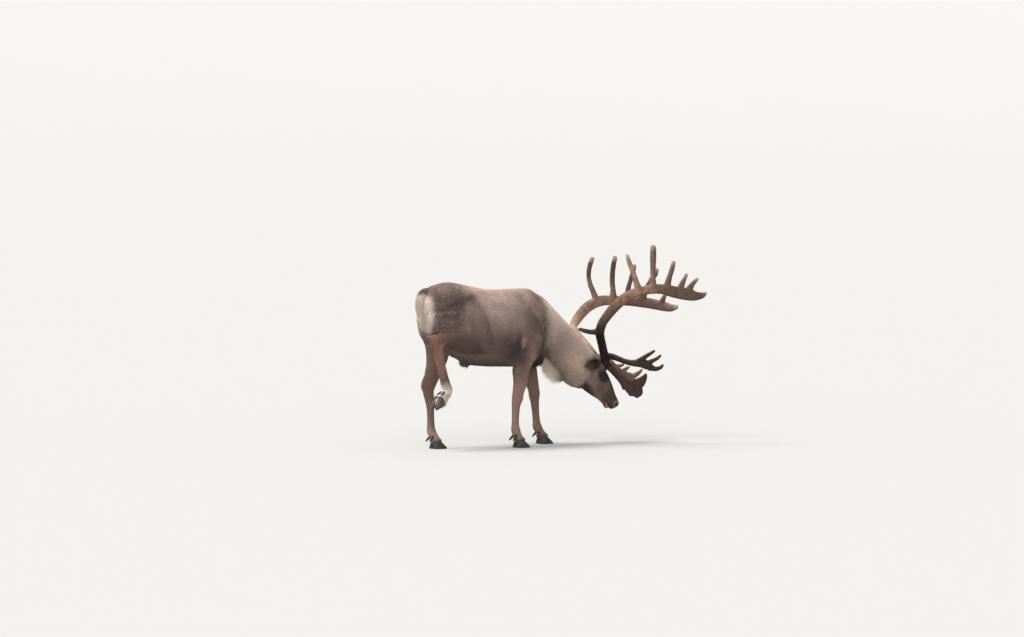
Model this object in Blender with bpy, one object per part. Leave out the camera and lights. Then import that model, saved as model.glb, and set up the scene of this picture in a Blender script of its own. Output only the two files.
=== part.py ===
"""A life-size bull reindeer in its summer coat, grazing with one hind leg lifted.

Metres. +X is the way the animal faces, +Y its left side, +Z up, and the hooves stand on Z = 0.
The flesh is fused from rounded forms laid along the skeleton, and then parted into named pieces by thin
cuts. Antlers, ears, eyes, tail and claws are made apart and seated on the flesh with a small gap.
"""

import math
import random

import bmesh
import bpy
from mathutils import Euler, Matrix, Vector

# Clearances and mesh fineness
GAP = 0.0003
SEAT_GAP = 0.0005
FLESH_VOXEL = 0.005
ANTLER_VOXEL = 0.004
FLESH_TRIANGLES = 4600
MUSCLE_SMOOTHING = 110
ANTLER_TRIANGLES = 1300

# The head: where its frame lies between the antler burrs, and how it is turned (roll, pitch, heading)
HEAD_ORIGIN = Vector((1.0386, -0.075, 0.593))
HEAD_TURN = (math.radians(-14.7), math.radians(66.9), math.radians(-27.0))
EYE_RADIUS = 0.019
EYE_PLACE = (0.086, 0.066, -0.042)

# The feet: where the toe stands, and for the lifted foot the angle its sole is turned from the floor
FEET = {
    "foreleg_right": ((0.350, -0.125, 0.0), 0.0),
    "foreleg_left": ((0.700, 0.122, 0.0), 0.0),
    "hindleg_right": ((-0.493, -0.146, 0.318), math.radians(112)),
    "hindleg_left": ((-0.262, 0.092, 0.0), 0.0),
}

# Each leg's forms, as knots of X, Y, Z, half depth and half width. The right hind leg is lifted and folded.
LEG_FORMS = {
    "foreleg_right": (
        (
            (0.380, -0.110, 0.900, 0.090, 0.055),
            (0.365, -0.140, 0.790, 0.108, 0.066),
            (0.305, -0.148, 0.690, 0.088, 0.058),
            (0.282, -0.142, 0.600, 0.072, 0.050),
            (0.279, -0.137, 0.510, 0.060, 0.043),
            (0.264, -0.132, 0.430, 0.047, 0.039),
            (0.258, -0.130, 0.385, 0.045, 0.040),
            (0.246, -0.128, 0.325, 0.035, 0.032),
            (0.242, -0.127, 0.250, 0.030, 0.027),
            (0.241, -0.126, 0.180, 0.031, 0.028),
            (0.245, -0.125, 0.135, 0.037, 0.034),
            (0.262, -0.125, 0.095, 0.032, 0.033),
            (0.278, -0.125, 0.062, 0.036, 0.038),
        ),
    ),
    "foreleg_left": (
        (
            (0.425, 0.110, 0.900, 0.090, 0.055),
            (0.445, 0.140, 0.790, 0.105, 0.066),
            (0.470, 0.148, 0.690, 0.088, 0.058),
            (0.505, 0.142, 0.600, 0.074, 0.050),
            (0.530, 0.136, 0.510, 0.060, 0.043),
            (0.550, 0.130, 0.430, 0.047, 0.039),
            (0.556, 0.128, 0.385, 0.045, 0.040),
            (0.560, 0.126, 0.325, 0.035, 0.032),
            (0.566, 0.124, 0.250, 0.030, 0.027),
            (0.572, 0.123, 0.180, 0.031, 0.028),
            (0.580, 0.122, 0.135, 0.037, 0.034),
            (0.604, 0.122, 0.095, 0.032, 0.033),
            (0.626, 0.122, 0.062, 0.036, 0.038),
        ),
    ),
    "hindleg_right": (
        (
            (-0.060, -0.172, 0.818, 0.066, 0.045),
            (-0.120, -0.178, 0.816, 0.080, 0.056),
            (-0.200, -0.180, 0.822, 0.084, 0.058),
            (-0.300, -0.176, 0.836, 0.074, 0.051),
            (-0.380, -0.170, 0.846, 0.058, 0.042),
            (-0.440, -0.166, 0.850, 0.047, 0.036),
            (-0.490, -0.165, 0.856, 0.037, 0.032),
            (-0.522, -0.165, 0.863, 0.024, 0.024),
            (-0.540, -0.165, 0.872, 0.016, 0.018),
        ),
        (
            (-0.480, -0.165, 0.850, 0.046, 0.034),
            (-0.470, -0.164, 0.790, 0.050, 0.035),
            (-0.450, -0.161, 0.720, 0.043, 0.032),
            (-0.430, -0.158, 0.650, 0.038, 0.030),
            (-0.408, -0.155, 0.575, 0.036, 0.029),
            (-0.388, -0.152, 0.510, 0.039, 0.032),
            (-0.374, -0.150, 0.462, 0.042, 0.036),
            (-0.392, -0.149, 0.420, 0.034, 0.034),
            (-0.418, -0.148, 0.385, 0.036, 0.038),
        ),
    ),
    "hindleg_left": (
        (
            (-0.350, 0.085, 1.120, 0.130, 0.085),
            (-0.325, 0.105, 1.020, 0.165, 0.100),
            (-0.300, 0.125, 0.910, 0.150, 0.096),
            (-0.288, 0.132, 0.810, 0.126, 0.078),
            (-0.302, 0.130, 0.720, 0.100, 0.060),
            (-0.328, 0.122, 0.630, 0.078, 0.047),
            (-0.368, 0.114, 0.530, 0.060, 0.037),
            (-0.392, 0.110, 0.460, 0.050, 0.035),
            (-0.388, 0.107, 0.400, 0.040, 0.033),
            (-0.380, 0.103, 0.330, 0.032, 0.029),
            (-0.378, 0.099, 0.250, 0.029, 0.026),
            (-0.378, 0.095, 0.180, 0.031, 0.028),
            (-0.376, 0.092, 0.135, 0.037, 0.034),
            (-0.352, 0.092, 0.095, 0.032, 0.033),
            (-0.334, 0.092, 0.062, 0.036, 0.038),
        ),
        (
            (-0.345, 0.118, 0.640, 0.030, 0.026),
            (-0.408, 0.112, 0.545, 0.024, 0.020),
            (-0.432, 0.110, 0.492, 0.021, 0.020),
            (-0.428, 0.110, 0.455, 0.018, 0.018),
        ),
    ),
}

# Torso stations: X, top, bottom, half width, and how far the section is wider below than above
TORSO = (
    (-0.495, 1.190, 0.950, 0.090, 0.00),
    (-0.460, 1.235, 0.860, 0.140, -0.05),
    (-0.390, 1.265, 0.780, 0.180, -0.08),
    (-0.275, 1.283, 0.735, 0.208, -0.05),
    (-0.120, 1.255, 0.650, 0.236, 0.05),
    (0.050, 1.223, 0.626, 0.252, 0.12),
    (0.200, 1.219, 0.620, 0.240, 0.16),
    (0.350, 1.223, 0.612, 0.196, 0.20),
    (0.450, 1.210, 0.606, 0.145, 0.20),
    (0.530, 1.150, 0.625, 0.095, 0.10),
)
# Neck stations: centre X, Y, Z, half depth, half width
NECK = (
    (0.300, 0.000, 1.020, 0.190, 0.130),
    (0.430, 0.000, 0.985, 0.205, 0.138),
    (0.556, 0.000, 0.902, 0.180, 0.126),
    (0.685, -0.012, 0.787, 0.170, 0.113),
    (0.797, -0.030, 0.673, 0.165, 0.103),
    (0.904, -0.050, 0.573, 0.154, 0.092),
    (0.973, -0.062, 0.511, 0.122, 0.077),
)
# Rounded masses of the body: place, radii and forward lean in degrees
MUSCLES = (
    ((0.385, -0.106, 0.915), (0.110, 0.078, 0.170), -14),
    ((0.415, 0.106, 0.915), (0.110, 0.078, 0.170), -8),
    ((0.335, -0.126, 0.815), (0.105, 0.066, 0.115), 20),
    ((0.405, 0.126, 0.815), (0.110, 0.066, 0.115), 10),
    ((0.480, -0.050, 0.820), (0.090, 0.075, 0.130), 0),
    ((0.490, 0.050, 0.820), (0.090, 0.075, 0.130), 0),
    ((0.490, 0.000, 0.705), (0.090, 0.080, 0.096), 0),
    ((-0.310, -0.112, 0.985), (0.180, 0.104, 0.150), 22),
    ((-0.230, -0.130, 0.900), (0.150, 0.092, 0.110), 30),
    ((-0.420, -0.088, 0.975), (0.090, 0.078, 0.140), 0),
    ((-0.400, 0.085, 0.960), (0.090, 0.080, 0.150), 0),
    ((-0.090, -0.150, 0.835), (0.110, 0.052, 0.095), 0),
    ((-0.120, 0.110, 0.800), (0.090, 0.075, 0.120), 25),
    ((-0.132, 0.000, 0.655), (0.050, 0.024, 0.033), 25),
)
# Skull stations in the head's frame: along the face, top, bottom, half width
SKULL = (
    (-0.120, -0.040, -0.150, 0.055),
    (-0.080, -0.008, -0.165, 0.066),
    (-0.020, 0.012, -0.165, 0.071),
    (0.040, 0.020, -0.158, 0.073),
    (0.090, 0.025, -0.148, 0.067),
    (0.140, 0.026, -0.130, 0.055),
    (0.190, 0.023, -0.108, 0.047),
    (0.240, 0.018, -0.090, 0.042),
    (0.285, 0.018, -0.078, 0.043),
    (0.316, 0.008, -0.070, 0.039),
    (0.332, -0.010, -0.058, 0.030),
)
JAW = (
    (0.000, -0.080, -0.216, 0.050),
    (0.050, -0.090, -0.224, 0.052),
    (0.100, -0.090, -0.204, 0.046),
    (0.160, -0.080, -0.168, 0.037),
    (0.220, -0.068, -0.126, 0.031),
    (0.275, -0.060, -0.102, 0.031),
    (0.303, -0.064, -0.094, 0.024),
)
# Rounded swellings of the head: place along, across and up, then the three radii
HEAD_SWELLINGS = (
    ("brow", (0.070, 0.056, -0.010), (0.036, 0.020, 0.018)),
    ("cheek", (0.062, 0.038, -0.118), (0.080, 0.032, 0.064)),
    ("cheekbone", (0.120, 0.040, -0.070), (0.070, 0.018, 0.022)),
    ("nostril_wing", (0.298, 0.030, -0.014), (0.030, 0.019, 0.024)),
    ("upper_lip", (0.290, 0.022, -0.050), (0.038, 0.026, 0.022)),
    ("lower_lip", (0.276, 0.014, -0.088), (0.036, 0.020, 0.014)),
    ("pedicle", (0.002, 0.055, -0.010), (0.041, 0.037, 0.040)),
    ("ear_root", (-0.052, 0.064, -0.044), (0.026, 0.022, 0.026)),
    ("socket", (0.086, 0.050, -0.042), (0.034, 0.028, 0.030)),
)

# The mouth line: along the face, up, and half thickness.
# It leaves a core whole between the cheeks, given by its place and radii
MOUTH = (
    (0.236, -0.091, 0.0006),
    (0.252, -0.083, 0.0016),
    (0.275, -0.076, 0.0020),
    (0.300, -0.074, 0.0022),
    (0.345, -0.075, 0.0026),
)
MOUTH_REACH = 0.060
MOUTH_CORE = ((0.245, 0.0, -0.078), (0.070, 0.024, 0.040))
NOSTRIL = ((0.313, 0.043, -0.020), (0.0125, 0.0085, 0.0060))
NOSTRIL_LEAN = math.radians(38)

# Each beam, and each tine from the point where it leaves the beam: knots of along, outward and up in the
# head's frame, half depth and half width
BEAMS = {
    "right": (
        (0.002, 0.056, 0.002, 0.036, 0.034),
        (-0.018, 0.065, 0.024, 0.036, 0.034),
        (-0.066, 0.084, 0.030, 0.033, 0.031),
        (-0.132, 0.125, 0.032, 0.033, 0.031),
        (-0.213, 0.215, 0.019, 0.034, 0.030),
        (-0.277, 0.305, 0.008, 0.036, 0.031),
        (-0.326, 0.370, 0.025, 0.036, 0.031),
        (-0.367, 0.420, 0.061, 0.036, 0.030),
        (-0.428, 0.490, 0.161, 0.039, 0.028),
        (-0.460, 0.535, 0.270, 0.037, 0.025),
        (-0.446, 0.540, 0.396, 0.034, 0.023),
        (-0.402, 0.510, 0.528, 0.038, 0.021),
        (-0.329, 0.465, 0.644, 0.046, 0.019),
        (-0.258, 0.410, 0.764, 0.046, 0.017),
        (-0.226, 0.380, 0.819, 0.034, 0.016),
        (-0.212, 0.355, 0.870, 0.024, 0.015),
        (-0.213, 0.340, 0.907, 0.014, 0.012),
    ),
    "left": (
        (0.002, 0.056, 0.002, 0.036, 0.034),
        (-0.018, 0.065, 0.024, 0.036, 0.034),
        (-0.084, 0.088, 0.014, 0.032, 0.030),
        (-0.162, 0.138, 0.009, 0.031, 0.029),
        (-0.236, 0.215, 0.007, 0.031, 0.029),
        (-0.307, 0.300, 0.011, 0.031, 0.029),
        (-0.349, 0.355, 0.029, 0.031, 0.028),
        (-0.396, 0.430, 0.128, 0.038, 0.029),
        (-0.432, 0.495, 0.250, 0.042, 0.027),
        (-0.428, 0.535, 0.378, 0.041, 0.024),
        (-0.383, 0.545, 0.486, 0.037, 0.022),
        (-0.326, 0.520, 0.603, 0.038, 0.020),
        (-0.262, 0.475, 0.710, 0.042, 0.018),
        (-0.190, 0.420, 0.802, 0.037, 0.017),
        (-0.162, 0.390, 0.839, 0.030, 0.017),
        (-0.152, 0.365, 0.875, 0.018, 0.014),
    ),
}
TINES = {
    "right": (
        (
            (-0.288, 0.315, -0.003, 0.026, 0.024),
            (-0.301, 0.335, -0.054, 0.020, 0.018),
            (-0.333, 0.365, -0.113, 0.017, 0.016),
            (-0.369, 0.395, -0.160, 0.011, 0.010),
        ),
        (
            (-0.470, 0.540, 0.353, 0.030, 0.023),
            (-0.549, 0.525, 0.368, 0.021, 0.019),
            (-0.619, 0.500, 0.382, 0.019, 0.017),
            (-0.684, 0.475, 0.392, 0.017, 0.016),
            (-0.736, 0.455, 0.405, 0.013, 0.013),
        ),
        (
            (-0.442, 0.528, 0.475, 0.030, 0.022),
            (-0.512, 0.515, 0.509, 0.020, 0.019),
            (-0.585, 0.505, 0.546, 0.021, 0.020),
            (-0.657, 0.495, 0.584, 0.024, 0.022),
            (-0.714, 0.485, 0.613, 0.022, 0.021),
        ),
        (
            (-0.386, 0.495, 0.581, 0.034, 0.020),
            (-0.445, 0.490, 0.631, 0.021, 0.018),
            (-0.496, 0.485, 0.679, 0.019, 0.017),
            (-0.543, 0.480, 0.720, 0.016, 0.015),
        ),
        (
            (-0.321, 0.450, 0.683, 0.034, 0.018),
            (-0.369, 0.435, 0.739, 0.021, 0.017),
            (-0.411, 0.415, 0.797, 0.013, 0.013),
        ),
        (
            (-0.289, 0.415, 0.760, 0.034, 0.017),
            (-0.325, 0.400, 0.819, 0.019, 0.016),
            (-0.344, 0.380, 0.877, 0.013, 0.012),
        ),
        (
            (-0.070, 0.092, 0.034, 0.028, 0.025),
            (-0.050, 0.125, 0.074, 0.024, 0.022),
            (-0.016, 0.152, 0.108, 0.022, 0.020),
            (0.026, 0.175, 0.146, 0.021, 0.019),
            (0.057, 0.195, 0.190, 0.025, 0.018),
            (0.083, 0.208, 0.246, 0.035, 0.016),
            (0.118, 0.212, 0.284, 0.036, 0.014),
            (0.150, 0.208, 0.314, 0.022, 0.013),
        ),
        (
            (0.064, 0.205, 0.226, 0.024, 0.016),
            (0.052, 0.215, 0.287, 0.018, 0.015),
            (0.045, 0.220, 0.336, 0.015, 0.014),
            (0.039, 0.222, 0.376, 0.011, 0.011),
        ),
        (
            (0.102, 0.210, 0.274, 0.022, 0.015),
            (0.104, 0.210, 0.331, 0.017, 0.014),
            (0.102, 0.205, 0.381, 0.014, 0.013),
            (0.093, 0.200, 0.415, 0.011, 0.010),
        ),
        (
            (0.140, 0.210, 0.290, 0.026, 0.013),
            (0.172, 0.200, 0.341, 0.019, 0.013),
            (0.178, 0.195, 0.380, 0.015, 0.012),
            (0.170, 0.190, 0.405, 0.011, 0.010),
        ),
        (
            (-0.022, 0.060, 0.022, 0.033, 0.028),
            (0.028, 0.052, 0.050, 0.028, 0.021),
            (0.104, 0.036, 0.082, 0.027, 0.016),
            (0.167, 0.022, 0.110, 0.033, 0.013),
            (0.216, 0.012, 0.128, 0.048, 0.012),
        ),
        (
            (0.190, 0.014, 0.122, 0.038, 0.012),
            (0.240, 0.006, 0.156, 0.056, 0.011),
            (0.274, 0.002, 0.176, 0.064, 0.010),
            (0.300, 0.000, 0.182, 0.058, 0.009),
            (0.318, -0.001, 0.180, 0.044, 0.009),
            (0.330, -0.002, 0.176, 0.022, 0.008),
            (0.334, -0.002, 0.175, 0.010, 0.007),
        ),
        (
            (0.230, 0.006, 0.158, 0.042, 0.011),
            (0.240, 0.002, 0.205, 0.050, 0.011),
            (0.236, -0.001, 0.246, 0.042, 0.010),
            (0.222, -0.003, 0.280, 0.030, 0.009),
            (0.206, -0.004, 0.304, 0.017, 0.008),
            (0.196, -0.005, 0.314, 0.009, 0.007),
        ),
    ),
    "left": (
        (
            (-0.320, 0.320, 0.010, 0.026, 0.024),
            (-0.338, 0.345, -0.046, 0.020, 0.018),
            (-0.366, 0.372, -0.100, 0.016, 0.015),
            (-0.392, 0.398, -0.140, 0.011, 0.010),
        ),
        (
            (-0.453, 0.530, 0.341, 0.032, 0.024),
            (-0.512, 0.520, 0.341, 0.022, 0.020),
            (-0.576, 0.510, 0.339, 0.020, 0.018),
            (-0.637, 0.500, 0.347, 0.018, 0.017),
            (-0.691, 0.485, 0.367, 0.018, 0.017),
            (-0.734, 0.470, 0.395, 0.019, 0.018),
            (-0.764, 0.455, 0.420, 0.018, 0.017),
        ),
        (
            (-0.407, 0.540, 0.478, 0.032, 0.022),
            (-0.468, 0.530, 0.501, 0.021, 0.019),
            (-0.532, 0.520, 0.519, 0.020, 0.018),
            (-0.592, 0.510, 0.545, 0.019, 0.018),
            (-0.650, 0.500, 0.576, 0.020, 0.019),
            (-0.694, 0.490, 0.605, 0.018, 0.017),
        ),
        (
            (-0.360, 0.520, 0.584, 0.030, 0.020),
            (-0.426, 0.515, 0.614, 0.020, 0.018),
            (-0.480, 0.505, 0.655, 0.018, 0.017),
            (-0.530, 0.495, 0.695, 0.018, 0.017),
            (-0.574, 0.485, 0.725, 0.017, 0.016),
        ),
        (
            (-0.310, 0.490, 0.678, 0.034, 0.019),
            (-0.371, 0.475, 0.738, 0.021, 0.018),
            (-0.417, 0.460, 0.796, 0.020, 0.018),
            (-0.453, 0.445, 0.841, 0.024, 0.021),
            (-0.477, 0.435, 0.861, 0.022, 0.020),
        ),
        (
            (-0.219, 0.430, 0.789, 0.030, 0.017),
            (-0.258, 0.415, 0.827, 0.018, 0.015),
            (-0.280, 0.400, 0.857, 0.012, 0.012),
        ),
        (
            (-0.074, 0.088, 0.012, 0.028, 0.025),
            (-0.052, 0.112, 0.072, 0.025, 0.023),
            (0.006, 0.136, 0.124, 0.023, 0.021),
            (0.083, 0.165, 0.164, 0.022, 0.020),
            (0.141, 0.190, 0.204, 0.026, 0.018),
            (0.180, 0.205, 0.244, 0.034, 0.016),
            (0.194, 0.210, 0.276, 0.024, 0.014),
        ),
        (
            (0.048, 0.155, 0.138, 0.020, 0.018),
            (0.066, 0.180, 0.189, 0.015, 0.014),
            (0.073, 0.200, 0.233, 0.010, 0.010),
        ),
        (
            (0.121, 0.190, 0.197, 0.022, 0.016),
            (0.114, 0.210, 0.243, 0.015, 0.014),
            (0.110, 0.220, 0.274, 0.010, 0.010),
        ),
        (
            (0.191, 0.208, 0.262, 0.024, 0.015),
            (0.184, 0.210, 0.322, 0.016, 0.014),
            (0.172, 0.210, 0.359, 0.010, 0.010),
        ),
        (
            (-0.016, 0.062, 0.020, 0.030, 0.027),
            (0.014, 0.062, 0.076, 0.021, 0.019),
            (0.058, 0.060, 0.108, 0.016, 0.014),
            (0.104, 0.062, 0.132, 0.010, 0.010),
        ),
    ),
}
# Where the antlers are parted: node, then the least and greatest along, outward and up
ANTLER_PARTS = (
    ("brow", (0.036, -0.05, -0.05), (0.45, 0.10, 0.40)),
    ("bez", (-0.08, 0.08, 0.070), (0.30, 0.28, 0.50)),
    ("rear_tine", (-0.50, 0.27, -0.30), (-0.20, 0.50, -0.032)),
    ("palm", (-0.95, 0.30, 0.436), (0.10, 0.75, 1.10)),
    ("beam", (-0.95, 0.27, 0.050), (0.10, 0.75, 1.10)),
)

# Claws: length of the sole, height at the coronet, and how the two stand apart and splay
CLAW_LENGTH = 0.112
CLAW_HEIGHT = 0.066
CLAW_APART = 0.0235
CLAW_SPLAY = math.radians(8)
# Along the sole, half width, and height as a share
CLAW_PROFILE = (
    (0.00, 0.010, 0.34),
    (0.07, 0.018, 0.62),
    (0.22, 0.022, 0.95),
    (0.42, 0.023, 1.00),
    (0.62, 0.022, 0.76),
    (0.80, 0.018, 0.50),
    (0.93, 0.012, 0.30),
    (1.00, 0.006, 0.16),
)

# Dewclaws in the foot's frame: where each starts and ends. The lifted foot hangs straighter.
DEWCLAW_STANDING = ((-0.108, 0.018, 0.100), (-0.146, 0.031, 0.056))
DEWCLAW_LIFTED = ((-0.160, 0.018, 0.036), (-0.122, 0.031, 0.006))

# Ears: the line they follow in the head's frame, the way they open and the wall.
# Then along the ear, the crescent's radius, and half of the angle it spans in degrees
EAR_LINE = (
    (-0.046, 0.052, -0.034),
    (-0.050, 0.092, -0.056),
    (-0.054, 0.122, -0.086),
    (-0.060, 0.143, -0.122),
    (-0.064, 0.158, -0.160),
)
EAR_OPENING = Vector((0.36, 0.86, 0.30))
EAR_WALL = 0.0045
EAR_SIDES = 6
EAR_PROFILE = (
    (0.00, 0.021, 140),
    (0.14, 0.029, 122),
    (0.32, 0.036, 104),
    (0.52, 0.038, 92),
    (0.72, 0.033, 84),
    (0.87, 0.022, 78),
    (0.96, 0.012, 74),
    (1.00, 0.004, 70),
)
LID_INNER = EYE_RADIUS - 0.0012

# The tail: centre X, Y, Z, half depth and half width
TAIL = (
    (-0.430, 0.0, 1.214, 0.022, 0.030),
    (-0.482, 0.0, 1.204, 0.024, 0.034),
    (-0.514, 0.0, 1.164, 0.022, 0.040),
    (-0.525, 0.0, 1.110, 0.019, 0.042),
    (-0.524, 0.0, 1.060, 0.013, 0.032),
    (-0.520, 0.0, 1.024, 0.005, 0.010),
)

SEED = 11
# The throat mane, in rows: the side angle of the roots in degrees, the number of locks, their length as a share,
# and the share of the neck's spline where the row starts. All rows end at MANE_END.
MANE_ROWS = (
    (0, 10, 1.00, 0.40),
    (-17, 9, 1.00, 0.42),
    (17, 9, 1.00, 0.45),
    (-34, 7, 0.90, 0.46),
    (34, 7, 0.90, 0.53),
)
MANE_END = 0.88
# Share of the neck's spline, and the length of the mane's locks there
MANE_LENGTHS = ((0.40, 0.165), (0.52, 0.185), (0.64, 0.125), (0.88, 0.040))
LOCK_WIDTH = 0.023
LOCK_THICKNESS = 0.0075
# Share along a lock, and its width there as a share
LOCK_STEPS = ((0.0, 0.80), (0.40, 1.0), (0.78, 0.60))
ROOT_DEPTH = 0.030
TAIL_LOCKS = 6
TAIL_LOCK_LENGTH = 0.085
# How much more a lock bends to the ground at each step
MANE_DROOP = 0.35
TAIL_DROOP = 0.20

COLOURS = {
    "coat_dark": (0.110, 0.075, 0.055, 1.0),
    "coat_grey": (0.230, 0.190, 0.160, 1.0),
    "coat_leg": (0.180, 0.105, 0.070, 1.0),
    "coat_face": (0.080, 0.055, 0.042, 1.0),
    "velvet": (0.130, 0.080, 0.055, 1.0),
    "hoof": (0.030, 0.026, 0.024, 1.0),
    "eye": (0.015, 0.010, 0.008, 1.0),
    "rump_white": (0.620, 0.560, 0.480, 1.0),
}
ROUGHNESS = {"hoof": 0.45, "eye": 0.08, "velvet": 0.85}


def clear_scene():
    for thing in list(bpy.data.objects):
        bpy.data.objects.remove(thing, do_unlink=True)


def material(name):
    found = bpy.data.materials.get(name) or bpy.data.materials.new(name)
    found.use_nodes = True
    shader = found.node_tree.nodes["Principled BSDF"]
    shader.inputs["Base Color"].default_value = COLOURS[name]
    shader.inputs["Roughness"].default_value = ROUGHNESS.get(name, 0.9)
    shader.inputs["Metallic"].default_value = 0.0
    return found


def new_object(name, mesh):
    made = bpy.data.objects.new(name, mesh)
    bpy.context.scene.collection.objects.link(made)
    return made


def spline(knots, share):
    """The Catmull-Rom curve through the knots, which are tuples of numbers, at a share from 0 to 1."""
    spans = len(knots) - 1
    place = min(share * spans, spans - 1e-9)
    i = max(int(place), 0)
    t = place - i
    before, start = knots[max(i - 1, 0)], knots[i]
    end, after = knots[i + 1], knots[min(i + 2, spans)]
    return [
        0.5 * (2 * b + (c - a) * t + (2 * a - 5 * b + 4 * c - d) * t * t + (3 * b - a - 3 * c + d) * t**3)
        for a, b, c, d in zip(before, start, end, after)
    ]


def loft(name, rings):
    """A closed mesh through rings of equally many points, with a flat cap at each end."""
    shape = bmesh.new()
    loops = [[shape.verts.new(point) for point in ring] for ring in rings]
    for low, high in zip(loops, loops[1:]):
        for i in range(len(low)):
            shape.faces.new((low[i - 1], low[i], high[i], high[i - 1]))
    shape.faces.new(loops[0])
    shape.faces.new(loops[-1])
    bmesh.ops.recalc_face_normals(shape, faces=shape.faces)
    mesh = bpy.data.meshes.new(name)
    shape.to_mesh(mesh)
    shape.free()
    return new_object(name, mesh)


def ellipse(centre, depth_way, width_way, depth, width, sides, egg=0.0):
    """A ring of points. A positive egg makes it wider towards minus depth_way."""
    ring = []
    for i in range(sides):
        angle = 2 * math.pi * i / sides
        across = width * math.sin(angle) * (1 - egg * math.cos(angle))
        ring.append(centre + depth_way * depth * math.cos(angle) + width_way * across)
    return ring


def tube(name, knots, across, sides=14, steps=None, round_start=True):
    """A rounded limb through knots of x, y, z, half depth and half width. Its width lies along across."""
    steps = steps or 6 * (len(knots) - 1)
    samples = [spline(knots, i / steps) for i in range(steps + 1)]
    centres = [Vector(s[:3]) for s in samples]
    rings = []
    for i, sample in enumerate(samples):
        along = (centres[min(i + 1, steps)] - centres[max(i - 1, 0)]).normalized()
        width_way = (across - along * across.dot(along)).normalized()
        depth_way = width_way.cross(along)
        depth, width = max(sample[3], 0.002), max(sample[4], 0.002)
        if round_start and i == 0:
            rings += end_rings(centres[0], -along, depth_way, width_way, depth, width, sides)[::-1]
        rings.append(ellipse(centres[i], depth_way, width_way, depth, width, sides))
        if i == steps:
            rings += end_rings(centres[-1], along, depth_way, width_way, depth, width, sides)
    return loft(name, rings)


def end_rings(centre, outward, depth_way, width_way, depth, width, sides):
    """The shrinking rings of a rounded end."""
    reach = min(depth, width)
    made = []
    for degrees in (30, 58, 80):
        angle = math.radians(degrees)
        shift = outward * reach * math.sin(angle)
        shrink = math.cos(angle)
        made.append(ellipse(centre + shift, depth_way, width_way, depth * shrink, width * shrink, sides))
    return made


def swelling(name, frame, place, radii, around=14, bands=9):
    """An ellipsoid at a place in a frame."""
    shape = bmesh.new()
    bmesh.ops.create_uvsphere(shape, u_segments=around, v_segments=bands, radius=1.0)
    scale = Matrix.Diagonal((*radii, 1.0))
    bmesh.ops.transform(shape, matrix=frame @ Matrix.Translation(place) @ scale, verts=shape.verts)
    mesh = bpy.data.meshes.new(name)
    shape.to_mesh(mesh)
    shape.free()
    return new_object(name, mesh)


def evaluated_mesh(thing):
    """The mesh of an object after its modifiers, which are then gone."""
    graph = bpy.context.evaluated_depsgraph_get()
    mesh = bpy.data.meshes.new_from_object(thing.evaluated_get(graph))
    thing.modifiers.clear()
    thing.data = mesh
    return thing


def join(name, things):
    """The objects as one object, with their shapes still apart."""
    shape = bmesh.new()
    for thing in things:
        shape.from_mesh(thing.data)
        bpy.data.objects.remove(thing, do_unlink=True)
    mesh = bpy.data.meshes.new(name)
    shape.to_mesh(mesh)
    shape.free()
    return new_object(name, mesh)


def largest_body(thing):
    """Keeps the largest closed surface of a mesh."""
    shape = bmesh.new()
    shape.from_mesh(thing.data)
    shape.verts.ensure_lookup_table()
    seen, bodies = set(), []
    for start in shape.verts:
        if start in seen:
            continue
        body, front = {start}, [start]
        while front:
            for edge in front.pop().link_edges:
                for vert in edge.verts:
                    if vert not in body:
                        body.add(vert)
                        front.append(vert)
        seen |= body
        bodies.append(body)
    bodies.sort(key=len)
    for body in bodies[:-1]:
        bmesh.ops.delete(shape, geom=list(body), context="VERTS")
    shape.to_mesh(thing.data)
    shape.free()
    return thing


def fuse(name, things, voxel, triangles, smoothing, keep_fine=None, soft=None):
    """Overlapping forms fused into one skin of few triangles. keep_fine and soft go from 0 to 1."""
    fused = join(name, things)
    remesh = fused.modifiers.new("Fuse", "REMESH")
    remesh.mode = "VOXEL"
    remesh.voxel_size = voxel
    smooth = fused.modifiers.new("Soften", "SMOOTH")
    smooth.factor = 0.5
    smooth.iterations = smoothing
    evaluated_mesh(fused)
    if soft:
        group = fused.vertex_groups.new(name="soft")
        for vert in fused.data.vertices:
            group.add([vert.index], soft(vert.co), "REPLACE")
        melt = fused.modifiers.new("Melt muscles together", "SMOOTH")
        melt.factor = 0.5
        melt.iterations = MUSCLE_SMOOTHING
        melt.vertex_group = "soft"
        evaluated_mesh(fused)
        fused.vertex_groups.clear()
    fewer = fused.modifiers.new("Fewer faces", "DECIMATE")
    fewer.use_collapse_triangulate = True
    fewer.ratio = triangles / (2 * len(fused.data.polygons))
    if keep_fine:
        group = fused.vertex_groups.new(name="fine")
        for vert in fused.data.vertices:
            group.add([vert.index], 1 - keep_fine(vert.co), "REPLACE")
        fewer.vertex_group = "fine"
        fewer.vertex_group_factor = 1.0
    evaluated_mesh(fused)
    fused.vertex_groups.clear()
    return largest_body(fused)


def boolean(thing, operation, other):
    step = thing.modifiers.new(operation, "BOOLEAN")
    step.operation = operation
    step.solver = "MANIFOLD"
    step.object = other
    evaluated_mesh(thing)
    return thing


def box(name, low, high, frame=None, grow=0.0):
    shape = bmesh.new()
    bmesh.ops.create_cube(shape, size=1.0)
    low, high = Vector(low) - Vector((grow,) * 3), Vector(high) + Vector((grow,) * 3)
    place = Matrix.Translation((low + high) / 2) @ Matrix.Diagonal((*(high - low), 1.0))
    bmesh.ops.transform(shape, matrix=(frame or Matrix()) @ place, verts=shape.verts)
    mesh = bpy.data.meshes.new(name)
    shape.to_mesh(mesh)
    shape.free()
    return new_object(name, mesh)


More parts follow.
